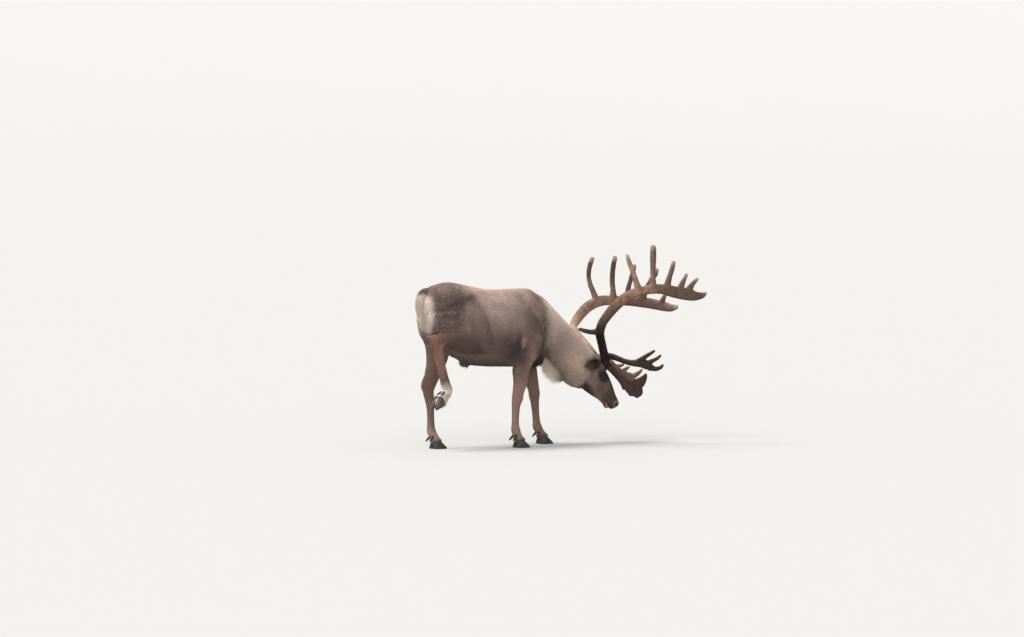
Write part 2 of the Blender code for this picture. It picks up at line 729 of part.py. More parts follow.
def carve(source, name, low, high, frame=None):
    """Parts the piece inside a box from the source, and leaves the gap between them."""
    inside = box("inside", low, high, frame)
    wider = box("wider", low, high, frame, GAP)
    piece = new_object(name, source.data.copy())
    boolean(piece, "INTERSECT", inside)
    boolean(source, "DIFFERENCE", wider)
    for cutter in (inside, wider):
        bpy.data.objects.remove(cutter, do_unlink=True)
    largest_body(source)
    return largest_body(piece)


def cut_back(piece, host):
    """Cuts a piece back to the skin of the host that it grows from, and leaves a gap."""
    swollen = new_object("swollen", host.data.copy())
    shape = bmesh.new()
    shape.from_mesh(swollen.data)
    shape.normal_update()
    for vert in shape.verts:
        vert.co += vert.normal * SEAT_GAP
    shape.to_mesh(swollen.data)
    shape.free()
    boolean(piece, "DIFFERENCE", swollen)
    bpy.data.objects.remove(swollen, do_unlink=True)


def seat(piece, host):
    """Cuts a piece back to its host's skin, and keeps what stands outside it."""
    cut_back(piece, host)
    return largest_body(piece)


def head_frame():
    return Matrix.Translation(HEAD_ORIGIN) @ Euler(HEAD_TURN, "XYZ").to_matrix().to_4x4()


def torso_form():
    samples = [spline(TORSO, i / 40) for i in range(41)]
    up, left = Vector((0, 0, 1)), Vector((0, 1, 0))
    rings = []
    for x, top, bottom, half_width, egg in samples:
        centre = Vector((x, 0, (top + bottom) / 2))
        rings.append(ellipse(centre, up, left, (top - bottom) / 2, half_width, 28, egg))
    for end in (0, -1):
        x, top, bottom, half_width, egg = samples[end]
        out = -1 if end == 0 else 1
        for degrees in (35, 65, 85):
            angle = math.radians(degrees)
            centre = Vector((x + out * 0.035 * math.sin(angle), 0, (top + bottom) / 2))
            shrink = math.cos(angle)
            ring = ellipse(centre, up, left, (top - bottom) / 2 * shrink, half_width * shrink, 28, egg)
            if end == 0:
                rings.insert(0, ring)
            else:
                rings.append(ring)
    return loft("torso_form", rings)


def face_form(name, stations, egg):
    """A loft along the face, given in the head's frame."""
    frame = head_frame()
    samples = [spline(stations, i / 36) for i in range(37)]
    rings = []
    for place, top, bottom, half_width in samples:
        centre = Vector((place, 0, (top + bottom) / 2))
        ring = ellipse(centre, Vector((0, 0, 1)), Vector((0, 1, 0)), (top - bottom) / 2, half_width, 22, egg)
        rings.append([frame @ point for point in ring])
    return loft(name, rings)


def place_in_head(knots, side=1):
    """Knots given in the head's frame, with the across value turned to one side, in the body's frame."""
    frame = head_frame()
    return [(*(frame @ Vector((k[0], side * k[1], k[2]))), k[3], k[4]) for k in knots]


def flesh_forms():
    forms = [torso_form(), tube("neck_form", NECK, Vector((0, 1, 0)), sides=24)]
    forms.append(face_form("skull_form", SKULL, 0.10))
    forms.append(face_form("jaw_form", JAW, -0.05))
    frame = head_frame()
    for name, (along, across, up), radii in HEAD_SWELLINGS:
        for side in (1, -1):
            forms.append(swelling(name, frame, (along, side * across, up), radii))
    for name, limbs in LEG_FORMS.items():
        for knots in limbs:
            forms.append(tube(name, knots, Vector((0, 1, 0))))
    for place, radii, lean in MUSCLES:
        tilt = Matrix.Translation(place) @ Matrix.Rotation(math.radians(lean), 4, "Y")
        forms.append(swelling("muscle", tilt, (0, 0, 0), radii))
    return forms


def fineness(point):
    """How finely a place on the flesh keeps its faces: most on the head, then the legs."""
    in_head = head_frame().inverted() @ point
    if in_head.x > -0.10 and abs(in_head.y) < 0.13 and in_head.z > -0.25:
        return 0.84
    folded_leg = -0.60 < point.x < 0.02 and point.y < -0.10 and 0.60 < point.z < 0.96
    return 0.60 if point.z < 0.60 or folded_leg else 0.25


def softness(point):
    """How much the muscles melt into each other at a place: not on the head or the lower legs."""
    in_head = head_frame().inverted() @ point
    if in_head.x > -0.06:
        return 0.0
    return min(1.0, max(0.0, (point.z - 0.60) / 0.12)) * min(1.0, max(0.0, (-0.06 - in_head.x) / 0.06))


def antler_forms(name):
    side = 1 if name == "left" else -1
    across = head_frame().to_3x3() @ Vector((0, 1, 0))
    forms = [tube("beam", place_in_head(BEAMS[name], side), across, 14, 80)]
    for knots in TINES[name]:
        forms.append(tube("tine", place_in_head(knots, side), across, 12))
    return forms


def build_antler(name, skin):
    """One antler, seated on the skull and parted at its main forks."""
    side = 1 if name == "left" else -1
    antler = fuse(f"antler_{name}_burr", antler_forms(name), ANTLER_VOXEL, ANTLER_TRIANGLES, 3)
    seat(antler, skin)
    for part, low, high in ANTLER_PARTS:
        low_out, high_out = sorted((side * low[1], side * high[1]))
        piece_name = f"antler_{name}_{part}"
        carve(antler, piece_name, (low[0], low_out, low[2]), (high[0], high_out, high[2]), head_frame())
    return antler


def ear(name, side):
    """A cupped ear, laid back beside the neck: crescents of one wall thickness along a leaf outline."""
    frame = head_frame()
    rings = []
    for share, radius, half_angle in EAR_PROFILE:
        centre = Vector(spline(EAR_LINE, max(share, 0.0)))
        way = (Vector(spline(EAR_LINE, share + 0.05)) - Vector(spline(EAR_LINE, share - 0.05))).normalized()
        opening = (EAR_OPENING - way * EAR_OPENING.dot(way)).normalized()
        across = way.cross(opening)
        outer, inner = [], []
        for i in range(EAR_SIDES + 1):
            angle = math.radians(-half_angle + 2 * half_angle * i / EAR_SIDES)
            ray = across * math.sin(angle) - opening * math.cos(angle)
            outer.append(centre + ray * radius)
            inner.append(centre + ray * (radius - min(EAR_WALL, radius * 0.6)))
        rings.append([frame @ Vector((p.x, side * p.y, p.z)) for p in outer + inner[::-1]])
    return loft(name, rings)


def eye_frame(side):
    """The eye's own frame, with +X out through the pupil and +Z towards the brow."""
    outward = Vector((0.30, side * 0.92, 0.22)).normalized()
    up = Vector((0, 0, 1))
    up = (up - outward * up.dot(outward)).normalized()
    turn = Matrix((outward, up.cross(outward), up)).transposed().to_4x4()
    place = Vector((EYE_PLACE[0], side * EYE_PLACE[1], EYE_PLACE[2]))
    return head_frame() @ Matrix.Translation(place) @ turn


def eyelids(name, side):
    """A ring of lid over the ball of the eye, with an almond opening."""
    frame = eye_frame(side)
    rings = []
    for i in range(18):
        angle = 2 * math.pi * i / 18
        across, up = math.cos(angle), math.sin(angle)
        opening = math.radians(26 + 26 * abs(across) ** 1.5)
        edge = math.radians(86)
        ring = []
        for spread, radius in (
            (opening, LID_INNER),
            (opening, LID_INNER + 0.0034),
            (0.5 * (opening + edge), LID_INNER + 0.0052),
            (edge, LID_INNER + 0.0022),
            (edge, LID_INNER - 0.0050),
        ):
            flat = radius * math.sin(spread)
            ring.append(frame @ Vector((radius * math.cos(spread), flat * across, flat * up)))
        rings.append(ring)
    return closed_loop(name, rings)


def closed_loop(name, rings):
    """A closed band through rings of points, whose last ring joins its first."""
    shape = bmesh.new()
    loops = [[shape.verts.new(point) for point in ring] for ring in rings]
    for k, loop in enumerate(loops):
        before = loops[k - 1]
        for i in range(len(loop)):
            shape.faces.new((before[i - 1], before[i], loop[i], loop[i - 1]))
    bmesh.ops.recalc_face_normals(shape, faces=shape.faces)
    mesh = bpy.data.meshes.new(name)
    shape.to_mesh(mesh)
    shape.free()
    return new_object(name, mesh)


def mouth_cutter():
    """A thin wedge round the muzzle that cuts the line between the lips."""
    frame = head_frame()
    outline = [(along, up + half) for along, up, half in MOUTH]
    outline += [(along, up - half) for along, up, half in reversed(MOUTH)]
    rings = []
    for across in (-MOUTH_REACH, MOUTH_REACH):
        rings.append([frame @ Vector((along, across, up)) for along, up in outline])
    wedge = loft("mouth", rings)
    core = swelling("core", frame, *MOUTH_CORE)
    boolean(wedge, "DIFFERENCE", core)
    bpy.data.objects.remove(core, do_unlink=True)
    return wedge


def nostril_cutter(side):
    """A slanting oval hollow in one side of the nose."""
    (along, across, up), radii = NOSTRIL
    turn = Matrix.Translation((along, side * across, up)) @ Matrix.Rotation(NOSTRIL_LEAN, 4, "Y")
    return swelling("nostril", head_frame() @ turn, (0, 0, 0), radii)


def shape_face(flesh):
    """Lids, sockets, the mouth line and the nostrils."""
    cutters = [mouth_cutter()]
    for side in (1, -1):
        lids = eyelids("lids", side)
        boolean(flesh, "UNION", lids)
        bpy.data.objects.remove(lids, do_unlink=True)
        cutters.append(swelling("socket", eye_frame(side), (0, 0, 0), (EYE_RADIUS + GAP,) * 3, 12, 8))
        cutters.append(nostril_cutter(side))
    for cutter in cutters:
        boolean(flesh, "DIFFERENCE", cutter)
        bpy.data.objects.remove(cutter, do_unlink=True)


def lock(root, way, across, length, droop):
    """A flat lock of hair, which tapers to a point and bends towards the ground."""
    shape = bmesh.new()
    loops = []
    place = root.copy()
    for i, (share, width) in enumerate(LOCK_STEPS):
        if i:
            place = place + way * length * (share - LOCK_STEPS[i - 1][0])
        way = (way + Vector((0, 0, -droop))).normalized()
        side = (across - way * across.dot(way)).normalized() * LOCK_WIDTH * width
        out = side.cross(way).normalized() * LOCK_THICKNESS * width
        loops.append([shape.verts.new(place + turn) for turn in (side, out, -side, -out)])
    tip = shape.verts.new(place + way * length * (1 - LOCK_STEPS[-1][0]))
    for low, high in zip(loops, loops[1:]):
        for i in range(4):
            shape.faces.new((low[i - 1], low[i], high[i], high[i - 1]))
    for i in range(4):
        shape.faces.new((loops[-1][i - 1], loops[-1][i], tip))
    shape.faces.new(loops[0])
    bmesh.ops.recalc_face_normals(shape, faces=shape.faces)
    mesh = bpy.data.meshes.new("lock")
    shape.to_mesh(mesh)
    shape.free()
    return new_object("lock", mesh)


def fuse_locks(thing, locks):
    """Adds closed locks to a piece by one union."""
    group = bpy.data.collections.new("locks")
    for made in locks:
        group.objects.link(made)
    step = thing.modifiers.new("Locks", "BOOLEAN")
    step.operation = "UNION"
    step.solver = "MANIFOLD"
    step.operand_type = "COLLECTION"
    step.collection = group
    evaluated_mesh(thing)
    for made in locks:
        bpy.data.objects.remove(made, do_unlink=True)
    bpy.data.collections.remove(group)
    return thing


def mane_locks(chance):
    """The throat mane: overlapping locks that hang from the underside of the neck."""
    made = []
    for degrees, count, row_length, start in MANE_ROWS:
        for i in range(count):
            place = start + (MANE_END - start) * (i + chance.uniform(0.1, 0.9)) / count
            x, y, z, depth, width = spline(NECK, place)
            along = (Vector(spline(NECK, place + 0.02)[:3]) - Vector((x, y, z))).normalized()
            down = Vector((0, 1, 0)).cross(along).normalized()
            down = down if down.z < 0 else -down
            angle = math.radians(degrees + chance.uniform(-5, 5))
            surface = down * depth * math.cos(angle) + Vector((0, 1, 0)) * width * math.sin(angle)
            outward = surface.normalized()
            root = Vector((x, y, z)) + surface - outward * ROOT_DEPTH
            length = row_length * mane_length(place) * chance.uniform(0.85, 1.08) + ROOT_DEPTH
            hang = Vector((0, chance.uniform(-0.12, 0.12), -0.5))
            way = (outward * 0.75 - along * 0.35 + hang).normalized()
            across = (along + Vector((0, chance.uniform(-0.5, 0.5), 0))).normalized()
            made.append(lock(root, way, across, length, MANE_DROOP))
    return made


def mane_length(share):
    """How long a lock is at a share of the neck's spline."""
    for (low, start), (high, end) in zip(MANE_LENGTHS, MANE_LENGTHS[1:]):
        if share <= high:
            return start + (end - start) * (share - low) / (high - low)
    return MANE_LENGTHS[-1][1]


def tail_locks(chance):
    """The long hair of the tail, which hangs from its sides and its end."""
    made = []
    for i in range(TAIL_LOCKS):
        share = 0.34 + 0.56 * i / (TAIL_LOCKS - 1)
        x, y, z, depth, width = spline(TAIL, share)
        side = (i % 3 - 1) * 0.75
        root = Vector((x + chance.uniform(-0.004, 0.004), y + side * width * 0.7, z))
        way = Vector((-0.10, side * 0.22, -1)).normalized()
        length = TAIL_LOCK_LENGTH * chance.uniform(0.8, 1.1)
        made.append(lock(root, way, Vector((0.15 * side, 1, 0)), length, TAIL_DROOP))
    return made


def foot_frame(name):
    """The frame of a foot's sole: the origin under the toes, +X to the toes and +Z up from the sole."""
    toe, turn = FEET[name]
    return Matrix.Translation(toe) @ Matrix.Rotation(turn, 4, "Y")


def claw(name, leg, side):
    """One claw of a cloven hoof: a blunt crescent on a flat sole, from the heel to the toe."""
    spread = Matrix.Rotation(side * CLAW_SPLAY, 4, "Z")
    frame = foot_frame(leg) @ Matrix.Translation((-CLAW_LENGTH, side * CLAW_APART, 0)) @ spread
    rings = []
    for share, half_width, height in CLAW_PROFILE:
        bow = side * 0.006 * math.sin(math.pi * share)
        ring = []
        for i in range(10):
            angle = 2 * math.pi * i / 10
            rise = max(0.0, CLAW_HEIGHT * height * (0.42 + 0.58 * math.sin(angle)))
            inward = 1 - 0.24 * max(0.0, math.sin(angle))
            across = half_width * math.cos(angle) * inward + bow
            ring.append(frame @ Vector((CLAW_LENGTH * share, across, rise)))
        rings.append(ring)
    return loft(name, rings)


def dewclaw(name, leg, side):
    """A small claw behind the fetlock."""
    frame = foot_frame(leg)
    start, end = DEWCLAW_LIFTED if FEET[leg][1] else DEWCLAW_STANDING
    knots = []
    for share, radius in ((0.0, 0.010), (0.5, 0.0115), (1.0, 0.006)):
        point = Vector(start).lerp(Vector(end), share)
        knots.append((*(frame @ Vector((point.x, side * point.y, point.z))), radius, radius * 1.1))
    return tube(name, knots, Vector((0, 1, 0)), 6, 2, round_start=False)


def part_legs(flesh):
    """Parts each leg from the flesh: foot, cannon and upper leg. The lifted leg folds at the hock."""
    for name, (low, high), part in (
        ("foreleg_right", ((0.10, -0.24, -0.05), (0.45, -0.03, 0.185)), "foot"),
        ("foreleg_right", ((0.10, -0.24, 0.10), (0.42, -0.03, 0.392)), "cannon"),
        ("foreleg_right", ((0.195, -0.30, 0.30), (0.405, -0.060, 0.735)), "upper"),
        ("foreleg_left", ((0.43, 0.03, -0.05), (0.80, 0.24, 0.185)), "foot"),
        ("foreleg_left", ((0.43, 0.03, 0.10), (0.75, 0.24, 0.392)), "cannon"),
        ("foreleg_left", ((0.380, 0.060, 0.30), (0.620, 0.30, 0.735)), "upper"),
        ("hindleg_left", ((-0.55, 0.01, -0.05), (-0.20, 0.20, 0.185)), "foot"),
        ("hindleg_left", ((-0.55, 0.01, 0.10), (-0.25, 0.20, 0.440)), "cannon"),
        ("hindleg_left", ((-0.52, 0.050, 0.35), (-0.165, 0.35, 0.860)), "upper"),
    ):
        carve(flesh, f"{name}_{part}", low, high)
    lifted = Matrix.Translation((-0.374, -0.150, 0.500)) @ Matrix.Rotation(math.radians(-14.5), 4, "Y")
    carve(flesh, "hindleg_right_foot", (-0.15, -0.12, -0.30), (0.10, 0.09, 0.0), lifted)
    carve(flesh, "hindleg_right_cannon", (-0.070, -0.12, -0.10), (0.070, 0.09, 0.285), lifted)
    carve(flesh, "hindleg_right_upper", (-0.65, -0.35, 0.72), (-0.045, -0.115, 0.915))


def build():
    clear_scene()
    flesh = fuse("torso", flesh_forms(), FLESH_VOXEL, FLESH_TRIANGLES, 8, fineness, softness)
    for name, side in (("left", 1), ("right", -1)):
        build_antler(name, flesh)
        seat(ear(f"ear_{name}", side), flesh)
        swelling(f"eye_{name}", eye_frame(side), (0, 0, 0), (EYE_RADIUS,) * 3, 12, 8)
    shape_face(flesh)
    for leg in LEG_FORMS:
        for word, side in (("left", 1), ("right", -1)):
            seat(claw(f"{leg}_claw_{word}", leg, side), flesh)
            seat(dewclaw(f"{leg}_dewclaw_{word}", leg, side), flesh)
    part_legs(flesh)
    nape = head_frame() @ Matrix.Translation((-0.088, 0, 0)) @ Matrix.Rotation(math.radians(-24), 4, "Y")
    head = carve(flesh, "head", (0.0, -0.25, -0.40), (0.60, 0.25, 0.20), nape)
    withers = Matrix.Translation((0.515, 0, 0.930)) @ Matrix.Rotation(math.radians(41), 4, "Y")
    neck = carve(flesh, "neck", (0.0, -0.25, -0.215), (0.90, 0.25, 0.35), withers)
    chance = random.Random(SEED)
    mane = mane_locks(chance)
    first = fuse_locks(mane[0], mane[1:])
    for host in (flesh, head, bpy.data.objects["foreleg_left_upper"]):
        cut_back(first, host)
    fuse_locks(neck, [first])
    largest_body(neck)
    tail = tube("tail", TAIL, Vector((0, 1, 0)), 12, 8)
    seat(tail, flesh)
    hair = tail_locks(chance)
    hair = fuse_locks(hair[0], hair[1:])
    cut_back(hair, flesh)
    fuse_locks(tail, [hair])
    largest_body(tail)
    largest_body(flesh)
    settle()
    dress()


def settle():
    """Moves everything so that the middle of the whole, at the floor, is the origin."""
    things = list(bpy.context.scene.objects)
    points = [vert.co for thing in things for vert in thing.data.vertices]
    low = Vector([min(point[i] for point in points) for i in range(3)])
    high = Vector([max(point[i] for point in points) for i in range(3)])
    shift = Matrix.Translation((-(low.x + high.x) / 2, -(low.y + high.y) / 2, -low.z))
    for thing in things:
        thing.data.transform(shift)


def dress():
    """Gives each piece its material and its shading."""
    for thing in bpy.context.scene.objects:
        name = thing.name
        if "claw" in name:
            colour = "hoof"
        elif name.startswith("eye"):
            colour = "eye"
        elif name.startswith("antler"):
            colour = "velvet"
        elif name.startswith(("head", "ear")):
            colour = "coat_face"
        elif name == "tail":
            colour = "rump_white"
        elif "leg" in name:
            colour = "coat_leg"
        else:
            colour = "coat_dark" if name == "torso" else "coat_grey"
        thing.data.materials.clear()
        thing.data.materials.append(material(colour))
        thing.data.shade_smooth()


build()
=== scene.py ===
# The reindeer as it shows: one skin, its summer coat in mesh tufts, velvet antlers, eyes and hooves.
import math
import random

import bmesh
import bpy
import numpy as np
from mathutils import Euler, Matrix, Vector
from mathutils.kdtree import KDTree


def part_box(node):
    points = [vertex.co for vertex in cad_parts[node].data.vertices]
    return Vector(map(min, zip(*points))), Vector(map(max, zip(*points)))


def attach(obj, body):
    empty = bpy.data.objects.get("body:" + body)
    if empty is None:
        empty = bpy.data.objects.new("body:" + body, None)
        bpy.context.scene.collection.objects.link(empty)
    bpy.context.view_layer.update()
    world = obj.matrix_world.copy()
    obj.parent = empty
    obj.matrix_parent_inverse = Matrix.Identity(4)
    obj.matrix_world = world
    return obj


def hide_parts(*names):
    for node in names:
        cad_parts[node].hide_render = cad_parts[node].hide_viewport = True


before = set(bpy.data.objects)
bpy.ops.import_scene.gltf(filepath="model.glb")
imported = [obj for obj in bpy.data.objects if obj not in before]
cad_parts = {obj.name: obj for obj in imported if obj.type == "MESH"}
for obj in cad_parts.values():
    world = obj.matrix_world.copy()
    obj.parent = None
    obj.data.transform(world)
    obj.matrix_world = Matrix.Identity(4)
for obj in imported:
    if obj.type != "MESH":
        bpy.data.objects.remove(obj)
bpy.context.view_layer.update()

# All shapes below are given in the animal's own frame: +X forward, +Y its left, the floor at 0.
# One eye's place, known in both frames, gives the shift to the model's frame.
eyeLow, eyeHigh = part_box("eye_right")
bodyShift = (eyeLow + eyeHigh) / 2 - Vector((1.01533, -0.14672, 0.50451))
bodyShift.z = 0.0


def tone(*screen):  # a colour given in screen values, as light values
    shares = np.array(screen) / 255
    return np.where(shares < 0.04045, shares / 12.92, ((shares + 0.055) / 1.055) ** 2.4)


def smoothStep(low, high, value):
    share = np.clip((value - low) / (high - low), 0.0, 1.0)
    return share * share * (3 - 2 * share)


def ripple(points, size, seed, waves=7):  # soft noise from -1 to 1, with features of about this size
    chance = np.random.default_rng(seed)
    total = np.zeros(len(points))
    for _ in range(waves):
        way = chance.normal(size=3)
        way *= 2 * math.pi / (size * chance.uniform(0.7, 1.6) * np.linalg.norm(way))
        total += np.sin(points @ way + chance.uniform(0, 2 * math.pi))
    return total / math.sqrt(waves) / 1.4


def inMetres(given):  # a table of lengths in millimetres
    if isinstance(given, dict):
        return {name: inMetres(value) for name, value in given.items()}
    if isinstance(given, tuple):
        return tuple(inMetres(value) for value in given)
    return given / 1000


# Mesh making: lofts, limbs and masses, then one fused surface

leftWay, upWay = Vector((0, 1, 0)), Vector((0, 0, 1))


def newPiece(name, mesh):
    piece = bpy.data.objects.new(name, mesh)
    bpy.context.scene.collection.objects.link(piece)
    return piece


def keepMesh(name, shape):  # a bmesh as an object
    mesh = bpy.data.meshes.new(name)
    shape.to_mesh(mesh)
    shape.free()
    return newPiece(name, mesh)


def spline(knots, share):  # the smooth curve through the knots, at a share from 0 to 1
    spans = len(knots) - 1
    place = min(max(share, 0.0) * spans, spans - 1e-9)
    i = max(int(place), 0)
    t = place - i
    before, start = knots[max(i - 1, 0)], knots[i]
    end, after = knots[i + 1], knots[min(i + 2, spans)]
    return [
        0.5 * (2 * b + (c - a) * t + (2 * a - 5 * b + 4 * c - d) * t * t + (3 * b - a - 3 * c + d) * t**3)
        for a, b, c, d in zip(before, start, end, after)
    ]


def samplesOf(knots, steps):
    return [spline(knots, i / steps) for i in range(steps + 1)]


def loft(name, rings):  # a closed mesh through rings of equally many points
    shape = bmesh.new()
    loops = [[shape.verts.new(point) for point in ring] for ring in rings]
    for low, high in zip(loops, loops[1:]):
        for i in range(len(low)):
            shape.faces.new((low[i - 1], low[i], high[i], high[i - 1]))
    shape.faces.new(loops[0])
    shape.faces.new(loops[-1])
    bmesh.ops.recalc_face_normals(shape, faces=shape.faces)
    return keepMesh(name, shape)


def ovalRing(centre, depthWay, widthWay, depth, width, sides, egg=0.0):
    ring = []
    for i in range(sides):
        angle = 2 * math.pi * i / sides
        across = width * math.sin(angle) * (1 - egg * math.cos(angle))
        ring.append(centre + depthWay * depth * math.cos(angle) + widthWay * across)
    return ring


def roundedEnd(centre, outward, depthWay, widthWay, depth, width, sides):
    made = []
    for degrees in (22, 42, 60, 74, 84):
        angle = math.radians(degrees)
        middle = centre + outward * min(depth, width) * math.sin(angle)
        shrink = math.cos(angle)
        made.append(ovalRing(middle, depthWay, widthWay, depth * shrink, width * shrink, sides))
    return made


leastRadius = 0.002


def limb(name, knots, across=leftWay, sides=20, steps=None):  # a tube through the knots, with round ends
    steps = steps or 7 * (len(knots) - 1)
    samples = samplesOf(knots, steps)
    centres = [Vector(sample[:3]) for sample in samples]
    rings = []
    for i, sample in enumerate(samples):
        along = (centres[min(i + 1, steps)] - centres[max(i - 1, 0)]).normalized()
        widthWay = (across - along * across.dot(along)).normalized()
        depthWay = widthWay.cross(along)
        depth, width = max(sample[3], leastRadius), max(sample[4], leastRadius)
        if i == 0:
            rings += roundedEnd(centres[0], -along, depthWay, widthWay, depth, width, sides)[::-1]
        rings.append(ovalRing(centres[i], depthWay, widthWay, depth, width, sides))
        if i == steps:
            rings += roundedEnd(centres[-1], along, depthWay, widthWay, depth, width, sides)
    return loft(name, rings)


def mass(name, place, radii, around=20, bands=13):  # an ellipsoid in a frame
    shape = bmesh.new()
    bmesh.ops.create_uvsphere(shape, u_segments=around, v_segments=bands, radius=1.0)
    bmesh.ops.transform(shape, matrix=place @ Matrix.Diagonal((*radii, 1.0)), verts=shape.verts)
    return keepMesh(name, shape)


def settled(piece):  # the piece after its modifiers
    graph = bpy.context.evaluated_depsgraph_get()
    mesh = bpy.data.meshes.new_from_object(piece.evaluated_get(graph))
    piece.modifiers.clear()
    piece.data = mesh
    return piece


def removed(piece):
    bpy.data.objects.remove(piece, do_unlink=True)


def joined(name, pieces):
    shape = bmesh.new()
    for piece in pieces:
        shape.from_mesh(piece.data)
        removed(piece)
    return keepMesh(name, shape)


def remeshed(piece, voxel, smoothing):
    step = piece.modifiers.new("fuse", "REMESH")
    step.mode = "VOXEL"
    step.voxel_size = voxel
    soften = piece.modifiers.new("soften", "SMOOTH")
    soften.factor = 0.5
    soften.iterations = smoothing
    return settled(piece)


def changedWhere(piece, share, kind, **settings):  # a modifier that works by a share for each point
    group = piece.vertex_groups.new(name="share")
    for level in range(11):
        chosen = np.flatnonzero(np.round(share * 10).astype(int) == level)
        if len(chosen):
            group.add(chosen.tolist(), level / 10, "REPLACE")
    step = piece.modifiers.new("change", kind)
    step.vertex_group = "share"
    for setting, value in settings.items():
        setattr(step, setting, value)
    settled(piece)
    piece.vertex_groups.clear()
    return piece


def softenedWhere(piece, share, iterations):
    return changedWhere(piece, share, "SMOOTH", factor=0.5, iterations=iterations)


def fewerFaces(piece, triangles, keep):  # keeps most faces where keep is near 1
    settings = {"ratio": triangles / (2 * len(piece.data.polygons)), "vertex_group_factor": 1.0}
    return changedWhere(piece, 1 - keep, "DECIMATE", use_collapse_triangulate=True, **settings)


def combined(piece, operation, other):
    step = piece.modifiers.new(operation, "BOOLEAN")
    step.operation = operation
    step.solver = "MANIFOLD"
    step.object = other
    settled(piece)
    removed(other)
    return piece


def rowsOf(collection, name, width, kind=np.float32):
    flat = np.empty(len(collection) * width, kind)
    collection.foreach_get(name, flat)
    return flat.reshape(-1, width)


def pointsOf(piece):
    return rowsOf(piece.data.vertices, "co", 3).astype(float)


def normalsOf(piece):
    return rowsOf(piece.data.vertex_normals, "vector", 3).astype(float)


def edgePairs(piece):
    return rowsOf(piece.data.edges, "vertices", 2, np.int32)


def trianglesOf(piece):
    piece.data.calc_loop_triangles()
    return rowsOf(piece.data.loop_triangles, "vertices", 3, np.int32)


def steady(piece):  # a ball's faces come in another order on each run, so they are sorted
    points, faces = pointsOf(piece), sorted(list(face.vertices) for face in piece.data.polygons)
    piece.data.clear_geometry()
    piece.data.from_pydata(points, [], faces)
    return piece


def movePoints(piece, points):
    piece.data.vertices.foreach_set("co", points.astype(np.float32).ravel())
    piece.data.update()


def unit(vectors):
    return vectors / np.maximum(np.linalg.norm(vectors, axis=-1, keepdims=True), 1e-9)


def bodyPiece(piece, slotName, *nodes):  # sets a finished piece in the model's frame, on its body
    piece.data.transform(Matrix.Translation(bodyShift))
    piece.data.polygons.foreach_set("use_smooth", np.ones(len(piece.data.polygons), bool))
    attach(piece, "root")
    if nodes:
        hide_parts(*nodes)


headShape = {
    "origin": (1.0386, -0.075, 0.593),
    "turn": (-14.7, 66.9, -27.0),  # roll, pitch and heading in degrees
    "skull": inMetres((  # along the face, top, bottom, half width
        (-120, -40, -150, 55), (-80, -8, -165, 66), (-20, 12, -165, 71), (40, 20, -158, 73),
        (90, 25, -148, 67), (140, 26, -130, 55), (190, 23, -108, 47), (240, 18, -90, 42),
        (285, 18, -78, 43), (316, 8, -70, 39), (332, -10, -58, 30),
    )),
    "jaw": inMetres((
        (0, -80, -216, 50), (50, -90, -224, 52), (100, -90, -204, 46), (160, -80, -168, 37),
        (220, -68, -126, 31), (275, -60, -102, 31), (303, -64, -94, 24),
    )),
    "swellings": inMetres((  # place along, across and up, then the radii
        ((70, 56, -10), (36, 20, 18)),  # brow
        ((62, 38, -118), (80, 32, 64)),  # cheek
        ((120, 40, -70), (70, 18, 22)),  # cheekbone
        ((298, 30, -14), (30, 19, 24)),  # wing of the nostril
        ((290, 22, -50), (38, 26, 22)),  # upper lip
        ((276, 14, -88), (36, 20, 14)),  # lower lip
        ((2, 55, -10), (41, 37, 40)),  # antler's foot
        ((-52, 64, -44), (26, 22, 26)),  # ear's root
        ((86, 50, -42), (34, 28, 30)),  # round the eye
    )),
    "mouth": (  # along, up and half thickness of the line between the lips
        (0.236, -0.091, 0.0006), (0.252, -0.083, 0.0016), (0.275, -0.076, 0.002), (0.3, -0.074, 0.0022),
        (0.345, -0.075, 0.0026),
    ),
    "mouthReach": 0.06,
    "mouthCore": ((0.245, 0.0, -0.078), (0.07, 0.024, 0.04)),
    "nostril": ((0.313, 0.043, -0.02), (0.0125, 0.0085, 0.006)),
    "nostrilLean": 38,
}
headFrame = Matrix.Translation(headShape["origin"]) @ Euler(
    [math.radians(angle) for angle in headShape["turn"]], "XYZ"
).to_matrix().to_4x4()
headBack = np.array(headFrame.inverted())


def inHead(points):  # points of the body as along, across and up on the head
    return points @ headBack[:3, :3].T + headBack[:3, 3]


def sided(place, side):
    return Vector((place[0], side * place[1], place[2]))


def headKnots(knots, side):
    return [(*(headFrame @ sided(knot, side)), *knot[3:]) for knot in knots]


eyeShape = {
    "radius": 0.019,
    "socket": 0.0188,
    "place": (0.086, 0.066, -0.042),
    "outward": (0.3, 0.92, 0.22),
    "lidInner": 0.0178,
}


def eyeFrame(side):  # +X out through the pupil, +Z towards the brow
    outward = sided(eyeShape["outward"], side).normalized()
    up = (upWay - outward * upWay.dot(outward)).normalized()
    turn = Matrix((outward, up.cross(outward), up)).transposed().to_4x4()
    return headFrame @ Matrix.Translation(sided(eyeShape["place"], side)) @ turn


def inFrame(points, frameHere):
    return (points - np.array(frameHere.translation)) @ np.array(frameHere.to_3x3())


def eyeDistance(points):  # from the middle of the nearer eye
    middles = [np.array(eyeFrame(side).translation) for side in (1, -1)]
    return np.min([np.linalg.norm(points - middle, axis=1) for middle in middles], axis=0)


